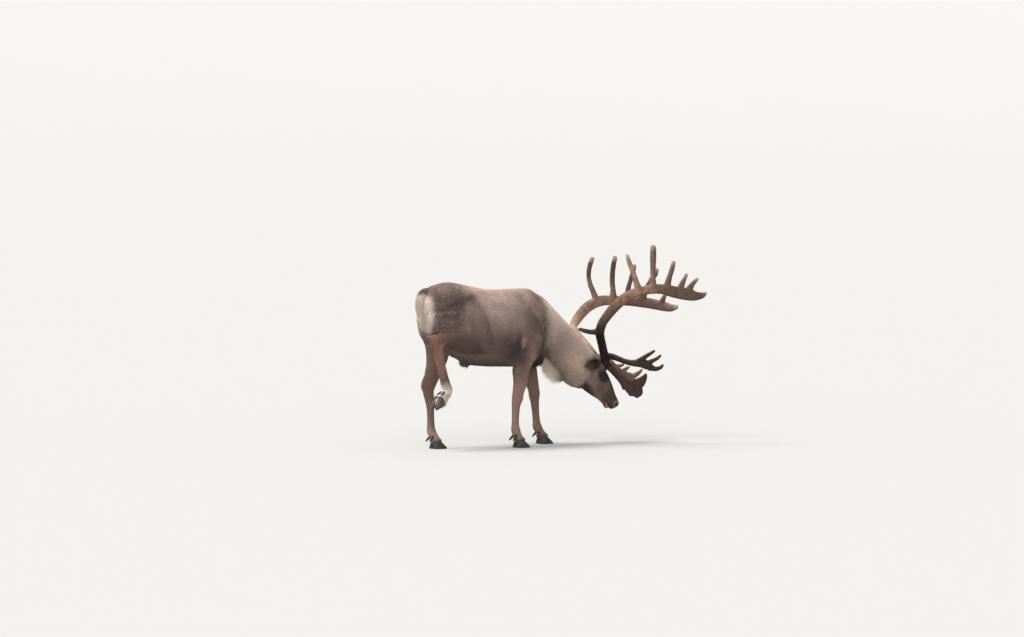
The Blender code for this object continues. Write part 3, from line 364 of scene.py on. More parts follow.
hoofShape = {
    "feet": {  # where the toe stands, and the turn of the sole in degrees
        "foreleg_right": ((0.35, -0.125, 0.0), 0.0),
        "foreleg_left": ((0.7, 0.122, 0.0), 0.0),
        "hindleg_right": ((-0.493, -0.146, 0.318), 112.0),
        "hindleg_left": ((-0.262, 0.092, 0.0), 0.0),
    },
    "length": 0.112,
    "height": 0.066,
    "apart": 0.0235,
    "groove": 0.0005,
    "grooveApart": 0.0062,
    "splay": 8,  # in degrees
    "profile": (  # along the sole, half width, height as a share
        (0.0, 0.01, 0.34), (0.07, 0.018, 0.62), (0.22, 0.022, 0.95), (0.42, 0.023, 1.0),
        (0.62, 0.022, 0.76), (0.8, 0.018, 0.5), (0.93, 0.012, 0.3), (1.0, 0.006, 0.16),
    ),
    "dewStanding": ((-0.108, 0.018, 0.1), (-0.146, 0.031, 0.056)),
    "dewKnots": ((0.0, 0.009), (0.35, 0.01), (0.7, 0.0082), (0.92, 0.005), (1.0, 0.003)),  # share, radius
    "dewLifted": ((-0.16, 0.018, 0.036), (-0.122, 0.031, 0.006)),
}


def footFrame(leg):
    toe, turn = hoofShape["feet"][leg]
    return Matrix.Translation(toe) @ Matrix.Rotation(math.radians(turn), 4, "Y")


# The skin's forms

torsoShape = {
    "stations": (  # along, top, bottom, half width, how far it is wider below
        (-0.495, 1.19, 0.95, 0.09, 0.0), (-0.46, 1.235, 0.86, 0.14, -0.05),
        (-0.39, 1.265, 0.78, 0.18, -0.08), (-0.275, 1.283, 0.735, 0.208, -0.05),
        (-0.12, 1.255, 0.65, 0.236, 0.05), (0.05, 1.223, 0.626, 0.252, 0.12),
        (0.2, 1.219, 0.62, 0.24, 0.16), (0.35, 1.223, 0.612, 0.196, 0.2), (0.45, 1.21, 0.606, 0.145, 0.2),
        (0.53, 1.15, 0.625, 0.095, 0.1),
    ),
    "sides": 36,
    "steps": 48,
    "endDepth": 0.035,
}


def torsoForm():
    stations, sides, steps = torsoShape["stations"], torsoShape["sides"], torsoShape["steps"]
    samples = samplesOf(stations, steps)
    rings = []
    for x, top, bottom, halfWidth, egg in samples:
        centre = Vector((x, 0, (top + bottom) / 2))
        rings.append(ovalRing(centre, upWay, leftWay, (top - bottom) / 2, halfWidth, sides, egg))
    for end, out in ((0, -1), (-1, 1)):
        x, top, bottom, halfWidth, egg = samples[end]
        for degrees in (35, 65, 85):
            angle = math.radians(degrees)
            centre = Vector((x + out * torsoShape["endDepth"] * math.sin(angle), 0, (top + bottom) / 2))
            shrink = math.cos(angle)
            half = (top - bottom) / 2 * shrink
            ring = ovalRing(centre, upWay, leftWay, half, halfWidth * shrink, sides, egg)
            rings.insert(0, ring) if end == 0 else rings.append(ring)
    return loft("torso", rings)


def faceForm(name, stations, egg):
    rings = []
    for place, top, bottom, halfWidth in samplesOf(stations, 44):
        centre = Vector((place, 0, (top + bottom) / 2))
        ring = ovalRing(centre, upWay, leftWay, (top - bottom) / 2, halfWidth, 30, egg)
        rings.append([headFrame @ point for point in ring])
    return loft(name, rings)


earShape = {
    "line": inMetres((
        (-46, 52, -34), (-50, 92, -56), (-54, 122, -86), (-60, 143, -122), (-64, 158, -160),
    )),
    "opening": (0.36, 0.86, 0.3),
    "wall": 0.0045,
    "profile": (  # share along, radius, half of the angle that it spans
        (0.0, 0.021, 140), (0.14, 0.029, 122), (0.32, 0.036, 104), (0.52, 0.038, 92), (0.72, 0.033, 84),
        (0.87, 0.022, 78), (0.96, 0.012, 74), (1.0, 0.004, 70),
    ),
    "sides": 18,
    "steps": 34,
}


def earForm(side):  # a cupped ear: crescents of one wall thickness along a leaf outline
    line, profile = earShape["line"], earShape["profile"]
    sides, steps = earShape["sides"], earShape["steps"]
    facing = Vector(earShape["opening"])
    rings = []
    for step in range(steps + 1):
        share, radius, halfAngle = spline(profile, step / steps)
        share = min(max(share, 0.0), 1.0)
        centre = Vector(spline(line, share))
        way = (Vector(spline(line, min(share + 0.05, 1.0))) - Vector(spline(line, share - 0.05))).normalized()
        opening = (facing - way * facing.dot(way)).normalized()
        across = way.cross(opening)
        outer, inner = [], []
        for i in range(sides + 1):
            turn = -1 + 2 * i / sides
            angle = math.radians(halfAngle * turn)
            ray = across * math.sin(angle) - opening * math.cos(angle)
            wall = min(earShape["wall"], radius * 0.6) * (1 - 0.45 * turn**4)
            outer.append(centre + ray * radius)
            inner.append(centre + ray * (radius - wall))
        rings.append([headFrame @ sided(point, side) for point in outer + inner[::-1]])
    return loft("ear", rings)


def lidOpening(across):  # how far from the pupil the lids begin, as an angle
    return np.radians(31 + 25 * np.abs(across) ** 1.6)


def lidForm(side):  # a rim of lid over the ball of the eye, with an almond opening
    place, inner = eyeFrame(side), eyeShape["lidInner"]
    shape = bmesh.new()
    loops = []
    for i in range(56):
        angle = 2 * math.pi * i / 56
        across, up = math.cos(angle), math.sin(angle)
        opening = lidOpening(across)
        edge = math.radians(86)
        ring = []
        for spread, radius in (
            (opening, inner),
            (opening - 0.03, inner + 0.0019),
            (opening + 0.04, inner + 0.0036),
            (opening + 0.18, inner + 0.0043),
            (0.5 * (opening + edge) + 0.05, inner + 0.0038),
            (0.25 * opening + 0.75 * edge, inner + 0.0040),
            (edge, inner + 0.0016),
            (edge, inner - 0.0050),
        ):
            flat, ahead = radius * math.sin(spread), radius * math.cos(spread)
            ring.append(shape.verts.new(place @ Vector((ahead, flat * across, flat * up))))
        loops.append(ring)
    for k, loop in enumerate(loops):
        before = loops[k - 1]
        for i in range(len(loop)):
            shape.faces.new((before[i - 1], before[i], loop[i], loop[i - 1]))
    bmesh.ops.recalc_face_normals(shape, faces=shape.faces)
    return keepMesh("lids", shape)


def mouthForm():  # the thin wedge between the lips, round a core that stays whole
    outline = samplesOf(headShape["mouth"], 24)
    ring = [(along, up + half) for along, up, half in outline]
    ring += [(along, up - half) for along, up, half in reversed(outline)]
    rings = []
    for across in (-headShape["mouthReach"], headShape["mouthReach"]):
        rings.append([headFrame @ Vector((along, across, up)) for along, up in ring])
    wedge = loft("mouth", rings)
    place, radii = headShape["mouthCore"]
    core = mass("core", headFrame @ Matrix.Translation(place), radii, 32, 20)
    return combined(wedge, "DIFFERENCE", steady(core))


def nostrilForm(side):
    place, radii = headShape["nostril"]
    lean = Matrix.Rotation(math.radians(headShape["nostrilLean"]), 4, "Y")
    return mass("nostril", headFrame @ Matrix.Translation(sided(place, side)) @ lean, radii, 24, 14)


regions = (
    "torso", "neck", "head", "ear", "tail", "foreleg_right", "foreleg_left", "hindleg_right", "hindleg_left",
)

neckShape = {
    "knots": inMetres((  # place, half depth and half width
        (300, 0, 1020, 190, 130), (430, 0, 985, 205, 138), (556, 0, 902, 180, 126),
        (685, -12, 787, 170, 113), (797, -30, 673, 165, 103), (904, -50, 573, 154, 92),
        (973, -62, 511, 122, 77),
    )),
    "sides": 28,
}
muscles = (  # place, radii and forward lean in degrees
    ((0.385, -0.106, 0.915), (0.11, 0.078, 0.17), -14), ((0.415, 0.106, 0.915), (0.11, 0.078, 0.17), -8),
    ((0.335, -0.126, 0.815), (0.105, 0.066, 0.115), 20), ((0.405, 0.126, 0.815), (0.11, 0.066, 0.115), 10),
    ((0.48, -0.05, 0.82), (0.09, 0.075, 0.13), 0), ((0.49, 0.05, 0.82), (0.09, 0.075, 0.13), 0),
    ((0.49, 0.0, 0.705), (0.09, 0.08, 0.096), 0), ((-0.31, -0.112, 0.985), (0.18, 0.104, 0.15), 22),
    ((-0.23, -0.13, 0.9), (0.15, 0.092, 0.11), 30), ((-0.42, -0.088, 0.975), (0.09, 0.078, 0.14), 0),
    ((-0.4, 0.085, 0.96), (0.09, 0.08, 0.15), 0), ((-0.09, -0.15, 0.835), (0.11, 0.052, 0.095), 0),
    ((-0.12, 0.11, 0.8), (0.09, 0.075, 0.12), 25), ((-0.132, 0.0, 0.655), (0.05, 0.024, 0.033), 25),
)
legShapes = inMetres({  # knots of each limb: place, half depth and half width
    "foreleg_right": (
        ((380, -110, 900, 90, 55), (365, -140, 790, 108, 66), (305, -148, 690, 88, 58),
         (282, -142, 600, 72, 50), (279, -137, 510, 60, 43), (264, -132, 430, 47, 39),
         (258, -130, 385, 45, 40), (246, -128, 325, 35, 32), (242, -127, 250, 30, 27),
         (241, -126, 180, 31, 28), (245, -125, 135, 37, 34), (262, -125, 95, 32, 33),
         (278, -125, 62, 36, 38)),
    ),
    "foreleg_left": (
        ((425, 110, 900, 90, 55), (445, 140, 790, 105, 66), (470, 148, 690, 88, 58),
         (505, 142, 600, 74, 50), (530, 136, 510, 60, 43), (550, 130, 430, 47, 39),
         (556, 128, 385, 45, 40), (560, 126, 325, 35, 32), (566, 124, 250, 30, 27),
         (572, 123, 180, 31, 28), (580, 122, 135, 37, 34), (604, 122, 95, 32, 33),
         (626, 122, 62, 36, 38)),
    ),
    "hindleg_right": (
        ((-60, -172, 818, 66, 45), (-120, -178, 816, 80, 56), (-200, -180, 822, 84, 58),
         (-300, -176, 836, 74, 51), (-380, -170, 846, 58, 42), (-440, -166, 850, 47, 36),
         (-490, -165, 856, 37, 32), (-522, -165, 863, 24, 24), (-540, -165, 872, 16, 18)),
        ((-480, -165, 850, 46, 34), (-470, -164, 790, 50, 35), (-450, -161, 720, 43, 32),
         (-430, -158, 650, 38, 30), (-408, -155, 575, 36, 29), (-388, -152, 510, 39, 32),
         (-374, -150, 462, 42, 36), (-392, -149, 420, 34, 34), (-418, -148, 385, 36, 38)),
    ),
    "hindleg_left": (
        ((-350, 85, 1120, 130, 85), (-325, 105, 1020, 165, 100), (-300, 125, 910, 150, 96),
         (-288, 132, 810, 126, 78), (-302, 130, 720, 100, 60), (-328, 122, 630, 78, 47),
         (-368, 114, 530, 60, 37), (-392, 110, 460, 50, 35), (-388, 107, 400, 40, 33),
         (-380, 103, 330, 32, 29), (-378, 99, 250, 29, 26), (-378, 95, 180, 31, 28),
         (-376, 92, 135, 37, 34), (-352, 92, 95, 32, 33), (-334, 92, 62, 36, 38)),
        ((-345, 118, 640, 30, 26), (-408, 112, 545, 24, 20), (-432, 110, 492, 21, 20),
         (-428, 110, 455, 18, 18)),
    ),
})


def fleshForms():  # the forms with the region that each belongs to
    made = [
        ("torso", torsoForm()),
        ("neck", limb("neck", neckShape["knots"], sides=neckShape["sides"])),
        ("head", faceForm("skull", headShape["skull"], 0.10)),
        ("head", faceForm("jaw", headShape["jaw"], -0.05)),
    ]
    for place, radii in headShape["swellings"]:
        for side in (1, -1):
            made.append(("head", mass("swelling", headFrame @ Matrix.Translation(sided(place, side)), radii)))
    for leg, limbs in legShapes.items():
        for knots in limbs:
            made.append((leg, limb(leg, knots)))
    for place, radii, lean in muscles:
        frameHere = Matrix.Translation(place) @ Matrix.Rotation(math.radians(lean), 4, "Y")
        made.append(("torso", mass("muscle", frameHere, radii)))
    return made


# What the coat does in each region: hair length, width and thickness, how far it lifts in degrees,
# how far apart the tufts stand, and how deep the skin lies under the coat
coatValues = ("length", "width", "thickness", "lift", "apart", "depth")
coatForms = {
    "torso": (0.034, 0.0036, 0.0012, 10, 0.00455, 0.0066),
    "neck": (0.042, 0.0030, 0.0010, 9, 0.00345, 0.0072),
    "head": (0.0125, 0.0018, 0.0007, 10, 0.00235, 0.0015),
    "ear": (0.0130, 0.0016, 0.0006, 12, 0.00215, 0.0003),
    "tail": (0.030, 0.0032, 0.0014, 16, 0.0036, 0.0030),
    "leg": (0.0180, 0.0024, 0.0010, 10, 0.00320, 0.0026),
}


def formValue(name, weights):  # one of the coat's values at each point, by the regions' shares
    column = coatValues.index(name)
    return weights @ np.array([coatForms.get(region, coatForms["leg"])[column] for region in regions])


# Soft hollows between the muscles, as lines of (x, z) with their reach and depth
creaseShape = (
    (((-0.145, 1.165), (-0.076, 1.057), (-0.036, 0.938), (-0.008, 0.790)), 0.024, 0.0045),
    (((-0.430, 1.075), (-0.360, 1.100), (-0.270, 1.136), (-0.135, 1.163)), 0.022, 0.0030),
    (((0.250, 0.740), (0.262, 0.830), (0.300, 0.920)), 0.026, 0.0035),
    (((0.560, 1.145), (0.575, 1.060), (0.580, 0.960), (0.575, 0.850), (0.530, 0.740)), 0.030, 0.0050),
)


def nearLine(points, line, reach):  # how near the points are, seen from the side, to a line of (x, z) places
    flat = points[:, [0, 2]] + 0.006 * np.stack((ripple(points, 0.07, 21), ripple(points, 0.07, 22)), 1)
    best = np.full(len(points), np.inf)
    for first, second in zip(line, line[1:]):
        first, way = np.array(first), np.array(second) - np.array(first)
        along = np.clip(((flat - first) @ way) / (way @ way), 0, 1)
        best = np.minimum(best, np.linalg.norm(flat - first - along[:, None] * way, axis=1))
    return np.exp(-((best / reach) ** 2))


foldShape = {  # rings of folded skin above the lifted thigh, seen from the side as (x, z)
    "middle": (-0.332, 0.845), "radius": 0.130, "band": 0.040,
    "spacing": 0.028, "height": 0.0044, "low": 0.80,
}


def foldRings(points):  # where the folds are, and their ups and downs
    look = foldShape
    x, y, z = points.T
    away = np.hypot(x - look["middle"][0], z - look["middle"][1]) + 0.004 * ripple(points, 0.05, 23)
    band = np.exp(-(((away - look["radius"]) / look["band"]) ** 2))
    band = band * smoothStep(look["low"], look["low"] + 0.07, z) * (y < -0.05) * smoothStep(-0.16, -0.30, x)
    return band, np.sin(away * 2 * math.pi / look["spacing"])


def spread(values, edges, rounds):  # evens values out over the surface
    count = len(values)
    degree = np.bincount(edges.ravel(), minlength=count)[:, None] + 1.0
    values = values.copy()
    for _ in range(rounds):
        total = values.copy()
        for column in range(values.shape[1]):
            total[:, column] += np.bincount(edges[:, 0], values[edges[:, 1], column], count)
            total[:, column] += np.bincount(edges[:, 1], values[edges[:, 0], column], count)
        values = total / degree
    return values


def regionIndex(points, labelled):  # the region of the nearest form
    total = sum(len(places) for _, places in labelled)
    tree = KDTree(total)
    labels = []
    for region, places in labelled:
        for place in places:
            tree.insert(place, len(labels))
            labels.append(regions.index(region))
    tree.balance()
    labels = np.array(labels)
    return labels[[tree.find(point)[1] for point in points]]


def shareOf(region, weights):
    return weights[:, regions.index(region)]


def legShareOf(weights):
    return weights[:, regions.index("foreleg_right"):].sum(1)


def regionShares(piece):  # the nearest region at each point, and the shares of all regions, softened
    edges = edgePairs(piece)
    nearest = regionIndex(pointsOf(piece), labelled)
    return edges, nearest, spread(np.eye(len(regions))[nearest], edges, 12)


print("building the skin")
skinShape = {"voxel": 0.0042, "smoothing": 9, "melting": 155, "triangles": 170000}
tailKnots = inMetres((
    (-430, 0, 1214, 22, 30), (-482, 0, 1204, 24, 34), (-514, 0, 1164, 22, 40), (-525, 0, 1110, 19, 42),
    (-524, 0, 1060, 13, 32), (-520, 0, 1024, 5, 10),
))
forms = fleshForms()
labelled = [(region, pointsOf(form)) for region, form in forms]
skin = remeshed(joined("skin", [form for _, form in forms]), skinShape["voxel"], skinShape["smoothing"])
points = pointsOf(skin)
face = inHead(points)
soft = np.clip((points[:, 2] - 0.60) / 0.12, 0, 1) * np.clip((-0.06 - face[:, 0]) / 0.06, 0, 1)
softenedWhere(skin, soft, skinShape["melting"])
points = pointsOf(skin)
face = inHead(points)
onHead = smoothStep(-0.16, -0.08, face[:, 0]) * (np.abs(face[:, 1]) < 0.14) * (face[:, 2] > -0.26)
onLegs = smoothStep(0.75, 0.55, points[:, 2])
keep = np.clip(0.30 + 0.65 * onHead + 0.20 * onLegs, 0, 1)
fewerFaces(skin, skinShape["triangles"], keep)
print("skin fused:", len(skin.data.vertices), "points")

# The skin lies under the coat by the coat's depth
points = pointsOf(skin)
edges, nearest, weights = regionShares(skin)
muzzle = smoothStep(0.13, 0.27, inHead(points)[:, 0]) * shareOf("head", weights)
eyeNear = smoothStep(0.052, 0.030, eyeDistance(points))
depth = formValue("depth", weights) * (1 - 0.7 * muzzle) * (1 - 0.8 * eyeNear)
depth = depth * smoothStep(0.0, 0.16, points[:, 2]) ** 0.5
points = points - normalsOf(skin) * depth[:, None]

# Folds above the lifted thigh, and the hollows between the muscles
out = normalsOf(skin)
band, stripes = foldRings(points)
points = points + out * (foldShape["height"] * band * stripes)[:, None]
for line, reach, sunk in creaseShape:
    points = points - out * (sunk * nearLine(points, line, reach) * (np.abs(points[:, 1]) > 0.03))[:, None]
movePoints(skin, points)

# Tail, ears, lids, the mouth line and the nostrils
added = [("tail", limb("tail", tailKnots, sides=24, steps=40))]
for side in (1, -1):
    added += [("ear", earForm(side)), (None, lidForm(side))]
for region, form in added:
    if region:
        labelled.append((region, pointsOf(form)))
    combined(skin, "UNION", form)
for side in (1, -1):
    socket = mass("socket", eyeFrame(side), (eyeShape["socket"],) * 3, 40, 28)
    combined(skin, "DIFFERENCE", steady(socket))
    combined(skin, "DIFFERENCE", steady(nostrilForm(side)))
combined(skin, "DIFFERENCE", mouthForm())
# the face flows into the lids without a crease
away = eyeDistance(pointsOf(skin))
softenedWhere(skin, smoothStep(0.0208, 0.0230, away) * smoothStep(0.044, 0.030, away), 14)
print("face shaped:", len(skin.data.vertices), "points")


# How the coat lies and what colour it has, at each point of the skin

def lieOn(region, points):  # the way of the hair
    x, y, z = points.T
    count = len(points)
    if region == "torso":
        haunch = smoothStep(-0.12, -0.38, x)
        shoulder = np.exp(-(((x - 0.40) / 0.16) ** 2))
        rump = smoothStep(-0.40, -0.50, x)
        sink = -0.30 - 0.65 * haunch - 0.75 * shoulder - 2.5 * rump
        sink = sink * (smoothStep(1.28, 1.05, z) * 0.85 + 0.15) * smoothStep(0.62, 0.75, z)
        return np.stack((-np.ones(count), np.zeros(count), sink), 1)
    if region == "neck":
        return np.array((0, 0, -0.35)) - alongKnots([neckShape["knots"]], points)
    if region == "tail":
        return alongKnots([tailKnots], points)
    if region == "head":
        forward = np.array(headFrame.to_3x3() @ Vector((1, 0, 0)))
        up = np.array(headFrame.to_3x3() @ upWay)
        cheek = smoothStep(0.16, 0.02, inHead(points)[:, 0])[:, None]
        return -forward[None, :] - up[None, :] * 0.35 * cheek
    if region == "ear":
        way = np.zeros((count, 3))
        for side in (1, -1):
            line = [tuple(headFrame @ sided(place, side)) for place in earShape["line"]]
            mine = inHead(points)[:, 1] * side > 0
            way[mine] = alongKnots([line], points[mine])
        return way
    return alongKnots(legShapes[region], points)


def alongKnots(limbs, points):  # the way of the nearest limb, from its first knot to its last
    best = np.full(len(points), np.inf)
    way = np.zeros((len(points), 3))
    for knots in limbs:
        middles = np.array(samplesOf(knots, 60))[:, :3]
        ways = unit(np.gradient(middles, axis=0))
        for start in range(0, len(points), 40000):
            part = slice(start, start + 40000)
            away = ((points[part, None, :] - middles[None, :, :]) ** 2).sum(2)
            nearest = away.argmin(1)
            distance = away[np.arange(len(nearest)), nearest]
            closer = distance < best[part]
            best[part] = np.where(closer, distance, best[part])
            way[part] = np.where(closer[:, None], ways[nearest], way[part])
    return way


# Colours of the coat, as seen in the photograph's soft light, with the places of its markings.
# A mark is a soft oval: its middle and reach in millimetres, its colour, how strong it is and,
# where only one side has it, which.
coatColours = {
    "gain": np.array((1.48, 1.42, 1.36)),  # how much lighter the hair itself is than it looks in shade
    "regions": {
        "torso": tone(118, 101, 95),
        "neck": tone(148, 132, 123),
        "head": tone(95, 80, 73),
        "ear": tone(56, 51, 44),
        "tail": tone(96, 82, 74),
        "foreleg_right": tone(138, 114, 104),
        "foreleg_left": tone(122, 99, 88),
        "hindleg_right": tone(92, 73, 67),
        "hindleg_left": tone(116, 94, 84),
    },
    "marks": (
        ((120, 240, 1100), (320, 220, 200), (142, 126, 121), 0.85),
        ((270, 220, 1000), (170, 180, 200), (130, 113, 107), 0.5),
        ((100, 0, 1250), (420, 200, 75), (165, 142, 125), 0.85),
        ((-320, 120, 1100), (200, 180, 260), (82, 68, 65), 0.9),
        ((-405, 170, 1020), (105, 160, 145), (108, 95, 94), 0.85),
        ((-260, 0, 1280), (220, 160, 80), (88, 74, 70), 0.8),
        ((-190, 200, 1030), (70, 120, 110), (136, 115, 104), 0.65),
        ((420, 160, 920), (140, 150, 280), (108, 91, 86), 0.75),
        ((50, 0, 600), (440, 340, 150), (98, 86, 74), 1.0),
        ((100, 200, 800), (240, 140, 120), (74, 61, 55), 0.7),
        ((480, 0, 680), (130, 170, 170), (60, 50, 45), 1.0),
        ((240, 200, 740), (115, 140, 135), (70, 59, 55), 0.85),
        ((440, 130, 730), (80, 110, 130), (72, 58, 54), 0.75),
        ((272, 190, 832), (36, 90, 62), (158, 144, 136), 0.7),
        ((-115, 0, 655), (80, 60, 60), (76, 64, 56), 0.7),
        ((-545, 50, 1045), (97, 190, 215), (224, 216, 205), 1.0),
        ((-515, 90, 1150), (74, 110, 90), (220, 210, 198), 0.95),
        ((600, 0, 1050), (220, 130, 190), (164, 148, 140), 0.85),
        ((800, 0, 820), (180, 130, 140), (144, 128, 119), 0.7),
        ((660, 120, 800), (140, 120, 130), (126, 109, 101), 0.45),
        ((600, 0, 640), (100, 50, 60), (178, 168, 155), 0.85),
        ((780, 50, 600), (160, 160, 120), (166, 148, 132), 0.75),
        ((-460, -200, 893), (130, 100, 28), (94, 70, 58), 0.9, "right"),
        ((-240, -210, 800), (290, 140, 95), (74, 59, 55), 0.85, "right"),
        ((-20, -220, 850), (120, 120, 130), (112, 96, 92), 0.7, "right"),
        ((-445, -170, 700), (80, 100, 185), (136, 104, 92), 0.95, "right"),
        ((-500, -170, 850), (60, 90, 60), (130, 100, 86), 0.8, "right"),
        ((-385, -150, 520), (70, 90, 90), (116, 92, 84), 0.6, "right"),
        ((-400, -150, 415), (95, 110, 125), (206, 197, 189), 1.0, "right"),
        ((-400, 110, 480), (70, 90, 120), (104, 84, 77), 0.6, "left"),
        ((-380, 100, 90), (120, 110, 75), (158, 144, 132), 0.65, "left"),
        ((270, -130, 90), (100, 110, 60), (130, 112, 102), 0.55, "right"),
        ((620, 120, 90), (100, 110, 60), (112, 95, 87), 0.55, "left"),
    ),
    "lines": (  # soft lines seen from the side: (x, z) places and reach in millimetres, colour, strength; the dark ones are painted shade along the hollows between the muscles and under the ridges and the neck
        (((-145, 1165), (-76, 1057), (-36, 938), (-8, 790)), 24, (72, 59, 56), 0.8),
        (((-100, 1130), (-30, 1030), (5, 940)), 26, (134, 118, 112), 0.45),
        (((-430, 1075), (-360, 1100), (-270, 1136), (-135, 1163)), 24, (62, 51, 49), 0.75),
        (((-400, 1045), (-340, 1035), (-285, 1050)), 18, (60, 50, 48), 0.7),
        (((250, 700), (225, 790), (235, 870)), 30, (64, 54, 51), 0.6),
        (((480, 1160), (515, 1060), (525, 960), (525, 850), (490, 745)), 42, (84, 69, 66), 0.75),
        (((600, 1100), (625, 980), (620, 880), (600, 790)), 40, (166, 152, 143), 0.6),
        (((566, 705), (615, 645), (694, 570), (740, 535)), 24, (92, 78, 67), 0.6),
    ),
    # the marks of the head, in the head's own frame
    "headMarks": (
        ((-20, 60, -115), (90, 60, 75), (118, 102, 95), 0.6),
        ((75, 50, -115), (80, 60, 50), (112, 95, 90), 0.75),
        ((170, 45, -80), (80, 50, 40), (84, 68, 65), 0.7),
        # painted shade under the jaw
        ((120, 20, -185), (170, 70, 50), (44, 33, 29), 0.95),
        ((220, 0, 10), (190, 55, 55), (56, 43, 42), 0.9),
        ((280, 30, -50), (105, 60, 75), (52, 39, 32), 0.9),
        ((315, 20, -20), (40, 50, 30), (122, 100, 94), 0.8),
        ((30, 0, 10), (120, 110, 60), (34, 28, 27), 1.0),
        ((75, 70, -35), (62, 60, 48), (33, 27, 27), 1.0),
        ((335, 0, -30), (30, 50, 40), (38, 31, 30), 0.85),
        ((305, 30, -88), (50, 50, 14), (128, 114, 106), 0.6),
        ((-50, 75, -40), (55, 45, 45), (38, 32, 29), 0.95),
    ),
}


def held(colour):  # keeps the hue of the palest hair
    return colour / np.maximum(1, colour.max(-1, keepdims=True) / 0.9)


def paint(colour, mark, share):  # on the colours given
    colour += (mark - colour) * np.clip(share, 0, 1)[:, None]


def ovalShare(points, middle, reach, seed):
    away = np.sqrt((((points - np.array(middle) / 1000) / (np.array(reach) / 1000)) ** 2).sum(1))
    away = away + 0.09 * ripple(points, 0.055, seed) + 0.05 * ripple(points, 0.018, seed + 7)
    return smoothStep(1.12, 0.42, away)


def coatColour(points, weights):
    look = coatColours
    colour = weights @ np.array([look["regions"][region] for region in regions])
    x, y, z = points.T
    mirrored = np.stack((x, np.abs(y), z), 1)
    for i, (middle, reach, mark, strength, *sides) in enumerate(look["marks"]):
        share = ovalShare(points if sides else mirrored, middle, reach, i)
        for side in sides:
            share *= y < 0.0 if side == "right" else y > 0.0
        paint(colour, tone(*mark), share * strength)
    face = inHead(points)
    mirroredFace = np.stack((face[:, 0], np.abs(face[:, 1]), face[:, 2]), 1)
    onHead = shareOf("head", weights) > 0.35
    for i, (middle, reach, mark, strength) in enumerate(look["headMarks"]):
        paint(colour, tone(*mark), ovalShare(mirroredFace, middle, reach, 50 + i) * onHead * strength)
    # the tail is dark on top and grey-white below
    tail = shareOf("tail", weights)
    top = smoothStep(1.190, 1.222, z + 0.01 * ripple(points, 0.03, 93))
    paint(colour, tone(196, 185, 171), tail * (1 - top))
    paint(colour, tone(84, 69, 62), tail * top)
    # darker just above the hooves
    paint(colour, tone(70, 58, 50), smoothStep(0.085, 0.055, z) * (legShareOf(weights) > 0.5) * 0.6)
    # painted shade: the dark lines darken the hollows between the muscles and the places under the ridges and
    # the neck
    for line, reach, mark, strength in look["lines"]:
        line = [(place[0] / 1000, place[1] / 1000) for place in line]
        share = nearLine(points, line, reach / 1000) * smoothStep(0.02, 0.05, np.abs(y))
        paint(colour, tone(*mark), share * strength)
    # the folds above the lifted thigh, warm and grey by turns: painted light on their crests and painted
    # shade in their hollows
    band, stripes = foldRings(points)
    paint(colour, tone(120, 96, 84), band * 0.65 * np.clip(stripes, 0, 1))
    paint(colour, tone(74, 61, 58), band * 0.65 * np.clip(-stripes, 0, 1))
    # faint streaks down the flanks, and soft cloudy patches all over
    body = shareOf("torso", weights)
    streaks, clouds = ripple(points * (1.0, 1.0, 0.22), 0.060, 90), ripple(points, 0.17, 91)
    colour *= (1 + body * 0.100 * streaks + 0.055 * clouds + 0.04 * ripple(points, 0.022, 92))[:, None]
    return held(np.maximum(colour * look["gain"], 0.004))


print("laying out the coat")
points = pointsOf(skin)
normals = normalsOf(skin)
edges, nearest, weights = regionShares(skin)
legShare = legShareOf(weights)
ways = np.zeros_like(points)
for i, region in enumerate(regions):
    mine = nearest == i
    if mine.any():
        ways[mine] = unit(lieOn(region, points[mine]))
ways = spread(ways, edges, 22)
ways += 0.16 * np.stack([ripple(points, 0.09, 60 + i) for i in range(3)], 1)
ways -= normals * (ways * normals).sum(1, keepdims=True)
ways = unit(ways)
colours = coatColour(points, weights)

# Bare or close-haired places: the lips, the nostrils, the lids, the sockets and the mouth's inside
face = inHead(points)
onHead = shareOf("head", weights)
bare = smoothStep(0.312, 0.330, face[:, 0]) * (np.abs(face[:, 1]) < 0.05) * onHead
for side in (1, -1):
    inEye = inFrame(points, eyeFrame(side))
    radius = np.linalg.norm(inEye, axis=1)
    flat = np.hypot(inEye[:, 1], inEye[:, 2])
    opened = np.arctan2(flat, inEye[:, 0]) - lidOpening(inEye[:, 1] / np.maximum(flat, 1e-6))
    rim = smoothStep(0.0235, 0.0225, radius) * smoothStep(0.17, 0.08, opened) * (inEye[:, 0] > 0.0)
    paint(colours, tone(26, 21, 20), rim * 0.9)
    nostril = np.array(headShape["nostril"][0]) * (1, side, 1)
    hole = smoothStep(1.5, 0.9, np.linalg.norm((face - nostril) / 0.0115, axis=1))
    paint(colours, tone(24, 18, 17), hole * 0.9)
    bare = np.maximum(bare, np.maximum(rim, hole))
mouthAlong, mouthHeight, _ = zip(*headShape["mouth"])
mouthUp = np.interp(face[:, 0], mouthAlong, mouthHeight)
lips = smoothStep(0.0050, 0.0020, np.abs(face[:, 2] - mouthUp)) * (face[:, 0] > 0.236) * onHead
bare = np.maximum(bare, lips * 0.8)
paint(colours, tone(34, 26, 24), lips * 0.85)
muzzle = smoothStep(0.12, 0.27, face[:, 0]) * onHead
blended = spread(weights, edges, 90)  # the hair changes its length and width by degrees
throat = smoothStep(0.10, -0.12, face[:, 0]) * smoothStep(-0.09, -0.15, face[:, 2]) * onHead
lengths = (formValue("length", blended) + 0.030 * throat) * (1 - 0.45 * muzzle)
x, y, z = points.T
lengths *= 1 - 0.35 * smoothStep(0.40, 0.10, z) * legShare
lengths *= 1 + 0.15 * smoothStep(-0.42, -0.50, x) * (z > 0.9)
coronet = np.zeros(len(points))
